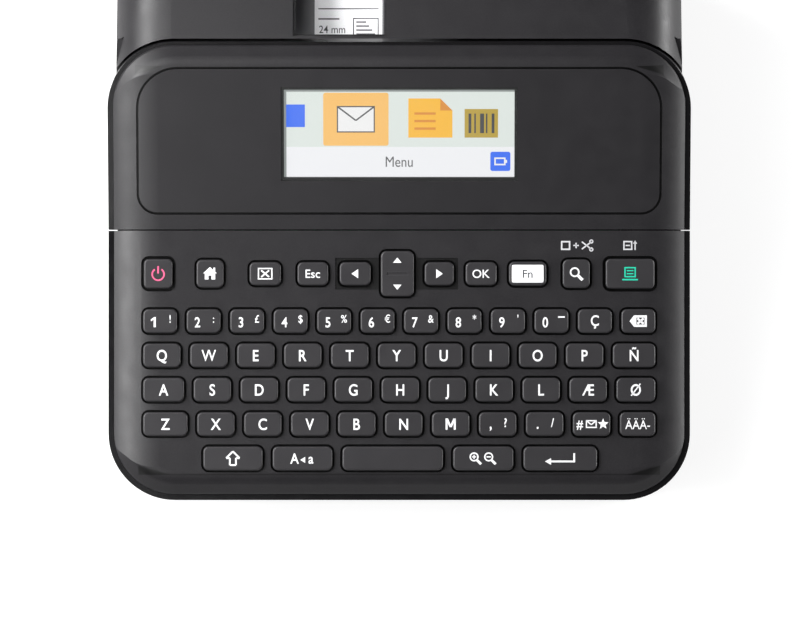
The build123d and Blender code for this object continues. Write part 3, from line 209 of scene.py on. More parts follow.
def rise(tree, place):
    """Distance in metres out of a shell's top, which rolls down towards its sides."""
    radius = (roll_width**2 + roll_drop**2) / (2 * roll_drop)
    side = calculated(tree, "ABSOLUTE", coordinate(tree, place, 0), 0.0)
    rolled = calculated(tree, "MAXIMUM", calculated(tree, "SUBTRACT", side, roll_start * mm), 0.0)
    square = calculated(tree, "MULTIPLY", rolled, rolled)
    drop = calculated(tree, "MULTIPLY", square, 1 / (2 * radius * mm))
    return calculated(tree, "ADD", coordinate(tree, place, 2), drop)


def gap_shade_mask(tree, field, level):
    """Where gap shade is painted: 1 in a field's gaps, below a level in millimetres over the shell's top, and
    0 elsewhere.
    """
    place, half_width, front, back = field
    side = calculated(tree, "ABSOLUTE", coordinate(tree, place, 0), 0.0)
    along = coordinate(tree, place, 1)
    deep = under(tree, rise(tree, place), level)
    inside = calculated(tree, "MULTIPLY", under(tree, side, half_width), under(tree, along, back))
    inside = calculated(tree, "SUBTRACT", inside, under(tree, along, front))
    return calculated(tree, "MULTIPLY", deep, calculated(tree, "MAXIMUM", inside, 0.0))


def on_ledge(tree, place):
    """1 on the narrow ledge round a shell's foot, where shade is painted, and 0 elsewhere."""
    level = coordinate(tree, place, 2)
    below = under(tree, level, -ledge_depth - ledge_band)
    return calculated(tree, "SUBTRACT", under(tree, level, -ledge_depth + ledge_band), below)


# Moulded plastic: sizes in millimetres, and shares of its colour and gloss
plastic_gloss = 0.3
mottle_size = 18.0
mottle_share = 0.07
smear_size = 6.0
smear_share = 0.04
edge_width = 0.5
# How much lighter edges are made, partly as worn plastic and partly as painted highlight
rubbed_and_highlit_factor = 2.2
speckle_grains = 1.5
speckle_factor = 3.0
# Painted shade in the gaps and on the ledge: the share of the colour that is kept
gap_shade_factor = 0.15
ledge_shade_factor = 0.4
ledge_roughness = 0.22
grain_strength = 0.6


def moulded(name, colour, roughness, grain, depth, wear_and_highlight=0.35, speckle=0.0, gaps=None, ledge=None):
    """Moulded plastic: fine grain, faint mottling, and edges made lighter, partly as worn plastic and partly
    as painted highlight.

    gaps is a field and a level, below which shade is painted nearly black; ledge is the frame of a ledge that
    is painted darker as shade and made glossier."""
    material, tree, shader = start_material(name, colour, roughness)
    shader.inputs["Specular IOR Level"].default_value = plastic_gloss
    mottle = spread(tree, noise(tree, mottle_size, detail=3.0), 0.0, 1.0)
    ground = mixed(tree, mottle, shaded(colour, 1 - mottle_share), shaded(colour, 1 + mottle_share))
    if speckle > 0:
        specks = spread(tree, noise(tree, speckle_grains * grain), 0.0, speckle)
        ground = mixed(tree, specks, ground, shaded(colour, speckle_factor))
    # Edges made lighter, partly as worn plastic and partly as a painted highlight
    rubbed_and_highlit = spread(tree, worn_and_highlit_edges(tree, edge_width), 0.0, wear_and_highlight, 0.0, 1.0)
    surface = mixed(tree, rubbed_and_highlit, ground, shaded(colour, rubbed_and_highlit_factor))
    smear = noise(tree, smear_size, detail=4.0)
    gloss = spread(tree, smear, roughness - smear_share, roughness + smear_share)
    if gaps is not None:
        # Painted shade: nearly black in the gaps between parts
        surface = mixed(tree, gap_shade_mask(tree, *gaps), surface, shaded(colour, gap_shade_factor))
    if ledge is not None:
        # Painted shade on the ledge makes its colour darker; its lower roughness is a polish
        polished_and_shaded = on_ledge(tree, ledge)
        surface = mixed(tree, polished_and_shaded, surface, shaded(colour, ledge_shade_factor))
        smoother = calculated(tree, "MULTIPLY", polished_and_shaded, roughness - ledge_roughness)
        gloss = calculated(tree, "SUBTRACT", gloss, smoother)
    tree.links.new(surface, shader.inputs["Base Color"])
    tree.links.new(gloss, shader.inputs["Roughness"])
    add_bump(tree, shader, noise(tree, grain), grain_strength, depth)
    return material


def metal(name, colour, roughness, stretch=(0.04, 1, 1)):
    """Sheet or turned metal with fine brushing along one axis."""
    material, tree, shader = start_material(name, colour, roughness)
    shader.inputs["Metallic"].default_value = 1.0
    brush_size = 0.25
    brushing = noise(tree, brush_size, detail=3.0, stretch=stretch)
    tree.links.new(spread(tree, brushing, roughness - 0.08, roughness + 0.1), shader.inputs["Roughness"])
    tone = mixed(tree, spread(tree, brushing, 0.0, 1.0), shaded(colour, 0.9), shaded(colour, 1.05))
    tree.links.new(tone, shader.inputs["Base Color"])
    add_bump(tree, shader, brushing, 0.3, 0.01)
    return material


def rubber(name, colour):
    """Soft matte rubber with a fine pebbled skin."""
    material, tree, shader = start_material(name, colour, 0.8)
    pebble_size = 0.5
    skin = noise(tree, pebble_size, detail=3.0)
    tone = mixed(tree, spread(tree, skin, 0.0, 1.0), shaded(colour, 0.85), shaded(colour, 1.2))
    tree.links.new(tone, shader.inputs["Base Color"])
    tree.links.new(spread(tree, skin, 0.72, 0.88), shader.inputs["Roughness"])
    add_bump(tree, shader, skin, 0.5, 0.03)
    return material


def clear_plastic(name, tint, share, roughness):
    """Clear moulding: mostly see-through, with a gloss and a faint film on it."""
    material, tree, shader = start_material(name, tint, roughness)
    shader.inputs["Specular IOR Level"].default_value = 0.5
    film_size = 9.0
    film = noise(tree, film_size, detail=4.0)
    tree.links.new(spread(tree, film, share * 0.8, share * 1.2), shader.inputs["Alpha"])
    tree.links.new(spread(tree, film, roughness * 0.8, roughness * 1.3), shader.inputs["Roughness"])
    return material


def paper(name, colour):
    """Printed sticker with fine fibres."""
    material, tree, shader = start_material(name, colour, 0.55)
    fibre_size = 0.3
    fibres = noise(tree, fibre_size, detail=5.0, stretch=(1, 0.3, 1))
    tone = mixed(tree, spread(tree, fibres, 0.0, 1.0), shaded(colour, 0.96), colour)
    tree.links.new(tone, shader.inputs["Base Color"])
    add_bump(tree, shader, fibres, 0.2, 0.01)
    return material


# A wave texture repeats every 0.314 m at a scale of 1
wave_period = 0.314


def wound(name, colour, axis):
    """Roll of tape: rings about its upright axis."""
    layer_pitch = 1.6956
    material, tree, shader = start_material(name, colour, 0.45)
    place = tree.nodes.new("ShaderNodeTexCoord")
    mapping = tree.nodes.new("ShaderNodeMapping")
    mapping.inputs["Location"].default_value = (-axis[0] * mm, -axis[1] * mm, 0)
    rings = tree.nodes.new("ShaderNodeTexWave")
    rings.wave_type = "RINGS"
    rings.rings_direction = "Z"
    rings.inputs["Scale"].default_value = wave_period / (layer_pitch * mm)
    rings.inputs["Distortion"].default_value = 0.4
    tree.links.new(place.outputs["Object"], mapping.inputs["Vector"])
    tree.links.new(mapping.outputs["Vector"], rings.inputs["Vector"])
    layers = mixed(tree, rings.outputs["Fac"], shaded(colour, 0.8), colour)
    tree.links.new(layers, shader.inputs["Base Color"])
    add_bump(tree, shader, rings.outputs["Fac"], 0.2, 0.02)
    return material


def board(name, colour):
    """Circuit board: a green mask with lighter traces under it."""
    trace_pitch = 6.0
    material, tree, shader = start_material(name, colour, 0.4)
    place = tree.nodes.new("ShaderNodeTexCoord")
    bricks = tree.nodes.new("ShaderNodeTexBrick")
    bricks.inputs["Scale"].default_value = 1 / (trace_pitch * mm)
    bricks.inputs["Color1"].default_value = colour
    bricks.inputs["Color2"].default_value = shaded(colour, 1.2)
    bricks.inputs["Mortar"].default_value = shaded(colour, 1.9)
    bricks.inputs["Mortar Size"].default_value = 0.03
    tree.links.new(place.outputs["Object"], bricks.inputs["Vector"])
    tree.links.new(bricks.outputs["Color"], shader.inputs["Base Color"])
    add_bump(tree, shader, bricks.outputs["Fac"], 0.2, 0.03)
    return material


def cell_sleeve(name):
    """Battery sleeve: dark over most of the length, copper-coloured at one end of each cell."""
    cell_pitch = 51.3
    dark = linear(40, 40, 44)
    material, tree, shader = start_material(name, dark, 0.35)
    shader.inputs["Metallic"].default_value = 0.6
    place = tree.nodes.new("ShaderNodeTexCoord")
    bands = tree.nodes.new("ShaderNodeTexWave")
    bands.bands_direction = "X"
    bands.wave_profile = "SAW"
    bands.inputs["Scale"].default_value = wave_period / (cell_pitch * mm)
    tree.links.new(place.outputs["Object"], bands.inputs["Vector"])
    band = spread(tree, bands.outputs["Fac"], 0.0, 1.0, 0.74, 0.76)
    tree.links.new(mixed(tree, band, dark, linear(190, 140, 80)), shader.inputs["Base Color"])
    scuff_size = 2.0
    scuffs = noise(tree, scuff_size, detail=5.0)
    tree.links.new(spread(tree, scuffs, 0.28, 0.45), shader.inputs["Roughness"])
    return material


def printed(name, colour):
    """Printed ink, slightly uneven."""
    material, tree, shader = start_material(name, colour, 0.55)
    patch_size = 0.4
    cover = noise(tree, patch_size, detail=3.0)
    tone = mixed(tree, spread(tree, cover, 0.0, 1.0), shaded(colour, 0.9), colour)
    tree.links.new(tone, shader.inputs["Base Color"])
    return material


def lit(name, colour):
    """Part of the lit display's picture, with the faint grid of its dots."""
    strength = 0.92
    dot_pitch = 0.48
    material, tree, shader = start_material(name, (0.02, 0.02, 0.02, 1.0), 0.3)
    place = tree.nodes.new("ShaderNodeTexCoord")
    dots = tree.nodes.new("ShaderNodeTexBrick")
    dots.offset = 0.0
    dots.inputs["Scale"].default_value = 1 / (dot_pitch * mm)
    dots.inputs["Color1"].default_value = colour
    dots.inputs["Color2"].default_value = shaded(colour, 0.97)
    dots.inputs["Mortar"].default_value = shaded(colour, 0.8)
    dots.inputs["Mortar Size"].default_value = 0.02
    dots.inputs["Brick Width"].default_value = 0.5
    dots.inputs["Row Height"].default_value = 0.5
    tree.links.new(place.outputs["Object"], dots.inputs["Vector"])
    tree.links.new(dots.outputs["Color"], shader.inputs["Emission Color"])
    shader.inputs["Emission Strength"].default_value = strength
    return material


# Levels over a shell's top, below which shade is painted on a piece as in a dark gap
deck_gap_level = -0.15
housing_gap_level = -0.3
panel_gap_level = -0.5
key_gap_level = 0.7

# Moulded plastics: colour, roughness, and the size and depth of the grain
shell_colour = linear(25, 24, 26)
shell_speckle = 0.2
deck_plastic = moulded(
    "deck_plastic", shell_colour, 0.42, 0.34, 0.03, speckle=shell_speckle,
    gaps=(key_field_place, deck_gap_level), ledge=deck_frame,
)
housing_plastic = moulded(
    "housing_plastic", shell_colour, 0.42, 0.34, 0.03, speckle=shell_speckle,
    gaps=(panel_place, housing_gap_level), ledge=display_frame,
)
case_plastic = moulded("case_plastic", shell_colour, 0.46, 0.38, 0.035, speckle=shell_speckle)
cover_plastic = moulded("cover_plastic", shell_colour, 0.4, 0.34, 0.03, speckle=shell_speckle)
panel_plastic = moulded(
    "panel_plastic", linear(30, 29, 31), 0.4, 0.2, 0.008, gaps=(panel_place, panel_gap_level)
)
# The keys' edges are made lighter than the shells': worn plastic and a painted highlight
key_plastic = moulded(
    "key_plastic", linear(41, 40, 42), 0.38, 0.16, 0.008, wear_and_highlight=0.6,
    gaps=(key_field_place, key_gap_level),
)
cassette_plastic = moulded("cassette_plastic", linear(112, 112, 114), 0.5, 0.3, 0.02)
holder_plastic = moulded("holder_plastic", linear(90, 90, 94), 0.5, 0.3, 0.02)
gear_plastic = moulded("gear_plastic", linear(222, 220, 210), 0.45, 0.4, 0.01, wear_and_highlight=0.05)
socket_plastic = moulded("socket_plastic", linear(28, 28, 30), 0.45, 0.3, 0.02)
module_plastic = moulded("module_plastic", linear(205, 212, 208), 0.4, 0.3, 0.01, wear_and_highlight=0.05)
head_ceramic = moulded("head_ceramic", linear(205, 205, 198), 0.3, 0.5, 0.005, wear_and_highlight=0.1)

# Other materials
steel = metal("steel", linear(180, 181, 184), 0.38)
blade_steel = metal("blade_steel", linear(200, 200, 204), 0.25, (1, 1, 0.04))
can_steel = metal("can_steel", linear(168, 168, 170), 0.33, (1, 1, 0.04))
aluminium = metal("aluminium", linear(205, 206, 208), 0.4, (1, 1, 0.05))
black_rubber = rubber("black_rubber", linear(34, 34, 35))
grey_rubber = rubber("grey_rubber", linear(150, 150, 152))
lens_clear = clear_plastic("lens_clear", linear(235, 240, 238), 0.015, 0.06)
window_clear = clear_plastic("window_clear", linear(60, 60, 64), 0.035, 0.08)
sticker = paper("sticker", linear(252, 252, 254))
reel_axis = (1.0, 64.32)
spool_axis = (-30.0, 66.136)
tape_roll = wound("tape_roll", linear(232, 232, 230), reel_axis)
ribbon_roll = wound("ribbon_roll", linear(36, 36, 40), spool_axis)
circuit_board = board("circuit_board", linear(28, 96, 60))
battery_sleeve = cell_sleeve("battery_sleeve")
ink_white = printed("ink_white", linear(222, 222, 224))
ink_grey = printed("ink_grey", linear(185, 185, 188))
ink_dark = printed("ink_dark", linear(60, 60, 64))
ink_red = printed("ink_red", linear(205, 80, 120))
ink_green = printed("ink_green", linear(0, 178, 146))
ink_fill = printed("ink_fill", linear(246, 246, 248))

# Every node that isn't listed is a key or a row of keys
finishes = {
    deck_plastic: ["keyboard_deck"],
    housing_plastic: ["display_housing"],
    case_plastic: ["lower_case", "battery_cover"],
    cover_plastic: ["tape_cover"],
    panel_plastic: ["display_panel"],
    cassette_plastic: ["cassette_tray", "cassette_lid"],
    holder_plastic: ["roller_holder"],
    gear_plastic: ["motor_pinion", "ribbon_spindle", "platen_gear", "cutter_crank"],
    socket_plastic: ["dc_jack"],
    module_plastic: ["lcd_module"],
    head_ceramic: ["print_head"],
    steel: ["cover_hinge_pins", "case_screws", "chassis_screws", "battery_contacts", "mechanism_chassis"],
    blade_steel: ["fixed_blade", "moving_blade"],
    can_steel: ["drive_motor", "cutter_motor", "usb_port"],
    aluminium: ["head_heat_sink"],
    black_rubber: ["rubber_feet", "platen_roller"],
    grey_rubber: ["keypad_mat"],
    lens_clear: ["display_lens"],
    window_clear: ["tape_cover_window"],
    sticker: ["cassette_label"],
    tape_roll: ["tape_reel"],
    ribbon_roll: ["ribbon_spool"],
    circuit_board: ["main_board", "key_board"],
    battery_sleeve: ["battery_cells"],
}
finished = {node: material for material, nodes in finishes.items() for node in nodes}
for node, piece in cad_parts.items():
    piece.data.materials.clear()
    piece.data.materials.append(finished.get(node, key_plastic))


# Flat drawings for legends, symbols and the display's picture
# Weights widen the strokes of words set at a font size of 1
bold = 0.014
thin = 0.004
font_heights = {}


def text_shape(words, weight):
    """Points and faces of some words, on a base line at 0, with a capital 1 high."""
    def flat_mesh(body):
        curve = bpy.data.curves.new("words", "FONT")
        curve.body = body
        curve.size = 1.0
        curve.offset = weight
        curve.fill_mode = "BOTH"
        holder = bpy.data.objects.new("words", curve)
        scene.collection.objects.link(holder)
        bpy.context.view_layer.update()
        mesh = bpy.data.meshes.new_from_object(holder.evaluated_get(bpy.context.evaluated_depsgraph_get()))
        bpy.data.objects.remove(holder)
        points = [(vertex.co.x, vertex.co.y) for vertex in mesh.vertices]
        faces = [tuple(face.vertices) for face in mesh.polygons]
        return points, faces

    if weight not in font_heights:
        capital = flat_mesh("H")[0]
        font_heights[weight] = max(y for x, y in capital) - min(y for x, y in capital)
    points, faces = flat_mesh(words)
    height = font_heights[weight]
    return [(x / height, y / height) for x, y in points], faces


class Drawing:
    """Flat shapes in millimetres, drawn about a movable origin."""

    def __init__(self):
        self.points = []
        self.faces = []
        self.origin = (0.0, 0.0)

    def at(self, x, y):
        """Move the origin for what is drawn next."""
        self.origin = (x, y)
        return self

    def polygon(self, points):
        first = len(self.points)
        self.points += [(x + self.origin[0], y + self.origin[1]) for x, y in points]
        self.faces.append(tuple(range(first, len(self.points))))

    def rectangle(self, left, bottom, right, top):
        self.polygon([(left, bottom), (right, bottom), (right, top), (left, top)])

    def rounded(self, left, bottom, right, top, radius):
        """Rectangle with rounded corners."""
        corner_steps = 6
        corners = [(right, top, 0), (left, top, 90), (left, bottom, 180), (right, bottom, 270)]
        points = []
        for x, y, start in corners:
            middle_x = x - math.copysign(radius, x - (left + right) / 2)
            middle_y = y - math.copysign(radius, y - (bottom + top) / 2)
            for step in range(corner_steps + 1):
                angle = math.radians(start + 90 * step / corner_steps)
                points.append((middle_x + radius * math.cos(angle), middle_y + radius * math.sin(angle)))
        self.polygon(points)

    def outline(self, left, bottom, right, top, line):
        """Edge of a rectangle, as wide as line."""
        self.rectangle(left, bottom, right, bottom + line)
        self.rectangle(left, top - line, right, top)
        self.rectangle(left, bottom + line, left + line, top - line)
        self.rectangle(right - line, bottom + line, right, top - line)

    def stroke(self, start, end, width):
        """Straight bar between two points."""
        along = Vector((end[0] - start[0], end[1] - start[1])).normalized()
        side = Vector((-along.y, along.x)) * width / 2
        self.polygon([
            (start[0] - side.x, start[1] - side.y),
            (end[0] - side.x, end[1] - side.y),
            (end[0] + side.x, end[1] + side.y),
            (start[0] + side.x, start[1] + side.y),
        ])

    def ring(self, x, y, outer, inner, start=0, end=360, steps=36):
        """Ring about x and y, or the part of one between two angles in degrees."""
        for step in range(steps):
            first = math.radians(start + (end - start) * step / steps)
            second = math.radians(start + (end - start) * (step + 1) / steps)
            self.polygon([
                (x + radius * math.cos(angle), y + radius * math.sin(angle))
                for radius, angle in ((inner, first), (outer, first), (outer, second), (inner, second))
            ])

    def words(self, words, x, y, height, weight=bold, narrow=0.84):
        """Words whose capitals are height high, centred on x and y, narrowed by a factor."""
        points, faces = text_shape(words, weight)
        middle = (min(px for px, py in points) + max(px for px, py in points)) / 2
        first = len(self.points)
        self.points += [
            (self.origin[0] + x + (px - middle) * height * narrow, self.origin[1] + y + (py - 0.5) * height)
            for px, py in points
        ]
        self.faces += [tuple(first + index for index in face) for face in faces]


def lay(drawing, name, place, level, body, material):
    """Make a drawing a thin layer at a level over a frame, carried by a body."""
    mesh = bpy.data.meshes.new(name)
    points = [place @ (Vector((x, y, level)) * mm) for x, y in drawing.points]
    mesh.from_pydata(points, [], drawing.faces)
    mesh.materials.append(material)
    mesh.update()
    piece = bpy.data.objects.new(name, mesh)
    scene.collection.objects.link(piece)
    film = piece.modifiers.new("ink", "SOLIDIFY")
    film.thickness = ink_thickness * mm
    film.offset = -1.0
    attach(piece, body)


# Key legends
def middle_of(node):
    """Middle of a key across the deck, in millimetres."""
    low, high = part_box(node)
    return (low.x + high.x) / 2 / mm


def number_middles():
    """Middles of the number keys across the deck."""
    pitch = (key_field + key_gap) / number_count
    return [-key_field / 2 + (pitch - key_gap) / 2 + number * pitch for number in range(number_count)]


def letter_middles(line):
    """Middles of a letter row's keys; its gaps lie a little further right than those of the row before."""
    pitch = key_field / letter_count
    lefts = [-key_field / 2]
    for number in range(1, letter_count):
        lefts.append(-key_field / 2 + number * pitch + (line - 1) * row_shift)
    rights = [left - key_gap for left in lefts[1:]] + [key_field / 2]
    return [(left + right) / 2 for left, right in zip(lefts, rights)]


legend_level = cap_rise + ink_rise


def lay_legend(drawing, key, material=ink_white):
    """Print a legend on a key's cap."""
    lay(drawing, f"{key}_legend", deck_frame, legend_level, key, material)


number_height = 3.3
sign_height = 2.5
number_legends = Drawing()
pairs = ["1!", "2:", "3£", "4$", "5%", "6€", "7&", "8*", "9'", "0-"]
middles = number_middles()
for pair, middle in zip(pairs, middles):
    number_legends.at(middle, number_row)
    if pair[0] == "1":
        number_legends.polygon([(-2.1, -2.0), (-1.4, -2.0), (-1.4, 1.3), (-1.95, 1.3), (-2.1, 0.85)])
        number_legends.polygon([(-2.1, 0.85), (-1.95, 1.3), (-3.0, 0.55), (-3.0, 0.0), (-2.1, 0.45)])
    else:
        number_legends.words(pair[0], -2.0, -0.35, number_height)
    if pair[1] == "-":
        number_legends.rectangle(2.2, 1.1, 4.4, 1.6)
    else:
        number_legends.words(pair[1], 3.3, 0.75, sign_height, weight=0.008)
number_legends.at(middles[10], number_row).words("Ç", 0, 0.2, 3.5)
number_legends.at(middles[11], number_row)
number_legends.polygon([(-2.9, 0), (-1.4, 1.9), (-1.4, -1.9)])
number_legends.outline(-1.4, -1.9, 2.8, 1.9, 0.75)
number_legends.stroke((-0.3, -0.9), (1.7, 0.9), 0.7)
number_legends.stroke((-0.3, 0.9), (1.7, -0.9), 0.7)
lay_legend(number_legends, "number_row_keys")

letter_rows = {
    "q_row_keys": (1, "QWERTYUIOPÑ"),
    "a_row_keys": (2, "ASDFGHJKLÆØ"),
    "z_row_keys": (3, "ZXCVBNM"),
}
letter_height = 3.7
for key, (line, letters) in letter_rows.items():
    legends = Drawing()
    row = number_row - line * row_pitch
    middles = letter_middles(line)
    for letter, middle in zip(letters, middles):
        legends.at(middle, row)
        if letter == "M":
            for side in (1, -1):
                legends.rectangle(side * 1.35 - 0.32, -1.85, side * 1.35 + 0.32, 1.85)
                slant = [(1.67, 1.85), (0.9, 1.85), (-0.35, -1.0), (0.35, -1.0)]
                legends.polygon([(side * x, y) for x, y in slant])
        elif letter == "Ø":
            legends.words("O", 0, 0, letter_height)
            legends.stroke((-1.5, -2.0), (1.5, 2.0), 0.4)
        else:
            legends.words(letter, 0, 0, letter_height, weight=thin if letter == "W" else bold)
    if key == "z_row_keys":
        for pair, middle in zip((",?", "./"), middles[7:9]):
            legends.at(middle, row)
            legends.words(pair[0], -2.3, 0.3, 3.6)
            legends.words(pair[1], 2.6, 0.5, 2.9, weight=0.01)
        legends.at(middles[9], row).words("#", -3.9, 0, 3.0)
        legends.outline(-1.9, -1.3, 1.7, 1.3, 0.4)
        legends.stroke((-1.7, 1.1), (-0.1, -0.2), 0.4)
        legends.stroke((1.5, 1.1), (-0.1, -0.2), 0.4)
        star = [
            (3.8 + radius * math.sin(math.pi * point / 5), radius * math.cos(math.pi * point / 5))
            for point in range(10)
            for radius in [1.9 if point % 2 == 0 else 0.8]
        ]
        legends.polygon(star)
        legends.at(middles[10], row).words("ÄÄÄ-", 0, -0.2, 2.9, weight=0.002)
    lay_legend(legends, key)

bottom_row = number_row - 4 * row_pitch
shift = Drawing().at(middle_of("shift_key"), bottom_row)
shift_path = [(0, 2.3), (2.2, 0.1), (1.0, 0.1), (1.0, -2.2), (-1.0, -2.2), (-1.0, 0.1), (-2.2, 0.1), (0, 2.3)]
for start, end in zip(shift_path, shift_path[1:]):
    shift.stroke(start, end, 0.55)
lay_legend(shift, "shift_key")

character = Drawing().at(middle_of("character_key"), bottom_row)
character.words("A", -2.6, 0, 3.4)
character.polygon([(-0.7, -0.5), (0.9, 0.5), (0.9, -1.5)])
character.words("a", 2.8, 0, 3.3)
lay_legend(character, "character_key")

zoom = Drawing().at(middle_of("zoom_key"), bottom_row)
for x in (-2.6, 2.2):
    zoom.ring(x - 0.4, 0.5, 1.5, 1.05)
    zoom.stroke((x + 0.6, -0.6), (x + 1.9, -1.9), 0.8)
zoom.stroke((1.1, 0.5), (2.5, 0.5), 0.4)
zoom.stroke((-3.7, 0.5), (-2.3, 0.5), 0.4)
zoom.stroke((-3.0, 1.2), (-3.0, -0.2), 0.4)
lay_legend(zoom, "zoom_key")

enter = Drawing().at(middle_of("enter_key"), bottom_row)
enter.rectangle(-3.6, -1.3, 4.9, -0.7)
enter.rectangle(4.3, -0.7, 4.9, 1.7)
enter.polygon([(-5.0, -1.0), (-3.0, 0.1), (-3.0, -2.1)])
lay_legend(enter, "enter_key")

power = Drawing().at(middle_of("power_key"), function_row)
power.ring(0, -0.2, 2.2, 1.7, 125, 415)
power.rectangle(-0.27, 0.1, 0.27, 2.5)
lay_legend(power, "power_key", ink_red)

home = Drawing().at(middle_of("home_key"), function_row)
home.polygon([(0, 2.2), (2.3, 0.1), (-2.3, 0.1)])
home.rectangle(-1.7, -1.9, -0.5, 0.1)
home.rectangle(0.5, -1.9, 1.7, 0.1)
home.rectangle(-0.5, -0.6, 0.5, 0.1)
home.rectangle(1.1, 0.4, 1.7, 2.0)
lay_legend(home, "home_key")

preview = Drawing().at(middle_of("preview_key"), function_row)
preview.outline(-2.4, -1.9, 2.4, 1.9, 0.4)
preview.stroke((-1.3, -1.1), (1.3, 1.1), 0.5)
preview.stroke((-1.3, 1.1), (1.3, -1.1), 0.5)
lay_legend(preview, "preview_key")

function_height = 2.7
for key, words in (("escape_key", "Esc"), ("ok_key", "OK")):
    legend = Drawing().at(middle_of(key), function_row)
    legend.words(words, 0, 0, function_height, weight=0.006, narrow=1.0)
    lay_legend(legend, key)

arrow = [(-1.2, 0), (1.0, 1.5), (1.0, -1.5)]
for key, points in (("left_key", arrow), ("right_key", [(-x, y) for x, y in arrow])):
    legend = Drawing().at(middle_of(key), function_row)
    legend.polygon(points)
    lay_legend(legend, key)
rocker = Drawing().at(middle_of("up_down_key"), function_row)
for side in (1, -1):
    rocker.polygon([(-1.4, side * 3.6), (1.4, side * 3.6), (0, side * 5.3)])
lay_legend(rocker, "up_down_key")

search = Drawing().at(middle_of("search_key"), function_row)
search.ring(-0.5, 0.5, 1.6, 1.1)
search.stroke((0.5, -0.5), (2.1, -2.1), 0.95)
lay_legend(search, "search_key")

sheet = Drawing().at(middle_of("print_key"), function_row)
sheet.rectangle(-2.6, -2.2, 2.6, -1.7)
sheet.outline(-1.9, -1.2, 1.9, 2.2, 0.45)
for height in (0.0, 1.0):
    sheet.rectangle(-1.1, height - 0.2, 1.1, height + 0.2)
lay_legend(sheet, "print_key", ink_green)

fill = Drawing().at(middle_of("function_key"), function_row)
fill.rounded(-5.2, -2.9, 5.2, 2.9, 0.5)
lay(fill, "function_key_fill", deck_frame, legend_level, "function_key", ink_fill)
label = Drawing().at(middle_of("function_key"), function_row)
label.words("Fn", 0, 0, function_height, weight=0.012, narrow=1.0)
label_level = legend_level + ink_rise
lay(label, "function_key_legend", deck_frame, label_level, "function_key", ink_dark)

# Small symbols printed on the deck above two keys
marks_row = -4.9
marks = Drawing().at(middle_of("search_key"), marks_row)
marks.outline(-5.0, -1.5, -1.9, 1.5, 0.5)
marks.rectangle(-0.9, -0.2, 0.9, 0.2)
marks.rectangle(-0.2, -0.9, 0.2, 0.9)
for side in (1, -1):
    marks.stroke((1.9, side * 1.2), (5.0, -side * 1.2), 0.45)
    marks.ring(5.0, side * 1.3, 0.7, 0.35, steps=16)
marks.at(middle_of("print_key"), marks_row)
marks.outline(-2.2, -1.5, 0.8, 1.5, 0.45)
marks.rectangle(-1.4, -0.2, 0.0, 0.2)
marks.rectangle(1.5, -1.5, 1.9, 1.5)
marks.polygon([(1.0, 0.6), (2.4, 0.6), (1.7, 1.7)])
lay(marks, "deck_marks", deck_frame, ink_rise, "body", ink_grey)

# Lit display: a plain menu of generic tiles
half_screen_width = screen_width / 2
half_screen_height = screen_height / 2
picture_level = -lens_depth + ink_rise


def lay_picture(drawing, name, layer, colour):
    """Light up part of the picture; a higher layer lies over a lower one."""
    level = picture_level + layer * ink_rise
    lay(drawing, f"display_{name}", display_frame, level, "body", lit(f"lit_{name}", colour))


def on_screen():
    """Empty drawing about the middle of the screen."""
    return Drawing().at(0, screen_middle)


ground = on_screen()
ground.rectangle(-half_screen_width, -half_screen_height, half_screen_width, half_screen_height)
lay_picture(ground, "ground", 1, linear(228, 236, 231))
band = on_screen()
band.rectangle(-half_screen_width, -half_screen_height, half_screen_width, -4.6)
lay_picture(band, "band", 2, linear(246, 247, 250))
edge = on_screen()
edge.rectangle(-half_screen_width, half_screen_height - 0.8, half_screen_width, half_screen_height)
edge.rectangle(-half_screen_width, -half_screen_height, -half_screen_width + 0.8, half_screen_height)
lay_picture(edge, "edge", 3, linear(140, 146, 144))
chosen = on_screen()
chosen.rounded(-25.0, -4.2, -3.5, 13.4, 0.8)
lay_picture(chosen, "chosen", 3, linear(255, 196, 98))
letter = on_screen()
letter.rectangle(-20.5, 0.2, -8.0, 9.0)
lay_picture(letter, "letter", 4, linear(247, 247, 247))
folds = on_screen()
folds.outline(-20.5, 0.2, -8.0, 9.0, 0.4)
folds.stroke((-20.3, 8.8), (-14.25, 4.2), 0.5)
folds.stroke((-8.2, 8.8), (-14.25, 4.2), 0.5)
folds.words("Menu", 0, -9.5, 3.4, weight=0.0)
lay_picture(folds, "folds", 5, linear(70, 70, 74))
note = on_screen()
note.polygon([(3.0, -1.5), (17.5, -1.5), (17.5, 7.5), (13.5, 11.5), (3.0, 11.5)])
lay_picture(note, "note", 3, linear(255, 190, 20))
corner = on_screen()
corner.polygon([(13.5, 7.5), (17.5, 7.5), (13.5, 11.5)])
for height in (1.5, 4.0, 6.5):
    corner.rectangle(5.0, height - 0.4, 12.0, height + 0.4)
lay_picture(corner, "corner", 4, linear(226, 140, 0))
bars = on_screen()
bars.rectangle(21.5, -1.5, 32.5, 8.0)
lay_picture(bars, "bars", 3, linear(186, 156, 24))
stripes = on_screen()
for number, width in enumerate((0.9, 0.5, 1.3, 0.5, 0.9)):
    stripes.rectangle(22.8 + 1.9 * number, 0.0, 22.8 + 1.9 * number + width, 6.5)
lay_picture(stripes, "stripes", 4, linear(44, 44, 48))
badge = on_screen()
badge.rounded(30.0, -12.6, 36.6, -6.2, 0.7)
badge.rectangle(-37.2, 2.0, -31.0, 9.5)
lay_picture(badge, "badge", 3, linear(20, 105, 250))
cell = on_screen()
cell.outline(31.3, -10.7, 35.0, -8.1, 0.5)
cell.rectangle(35.0, -9.9, 35.5, -8.9)
lay_picture(cell, "cell", 4, linear(247, 247, 247))

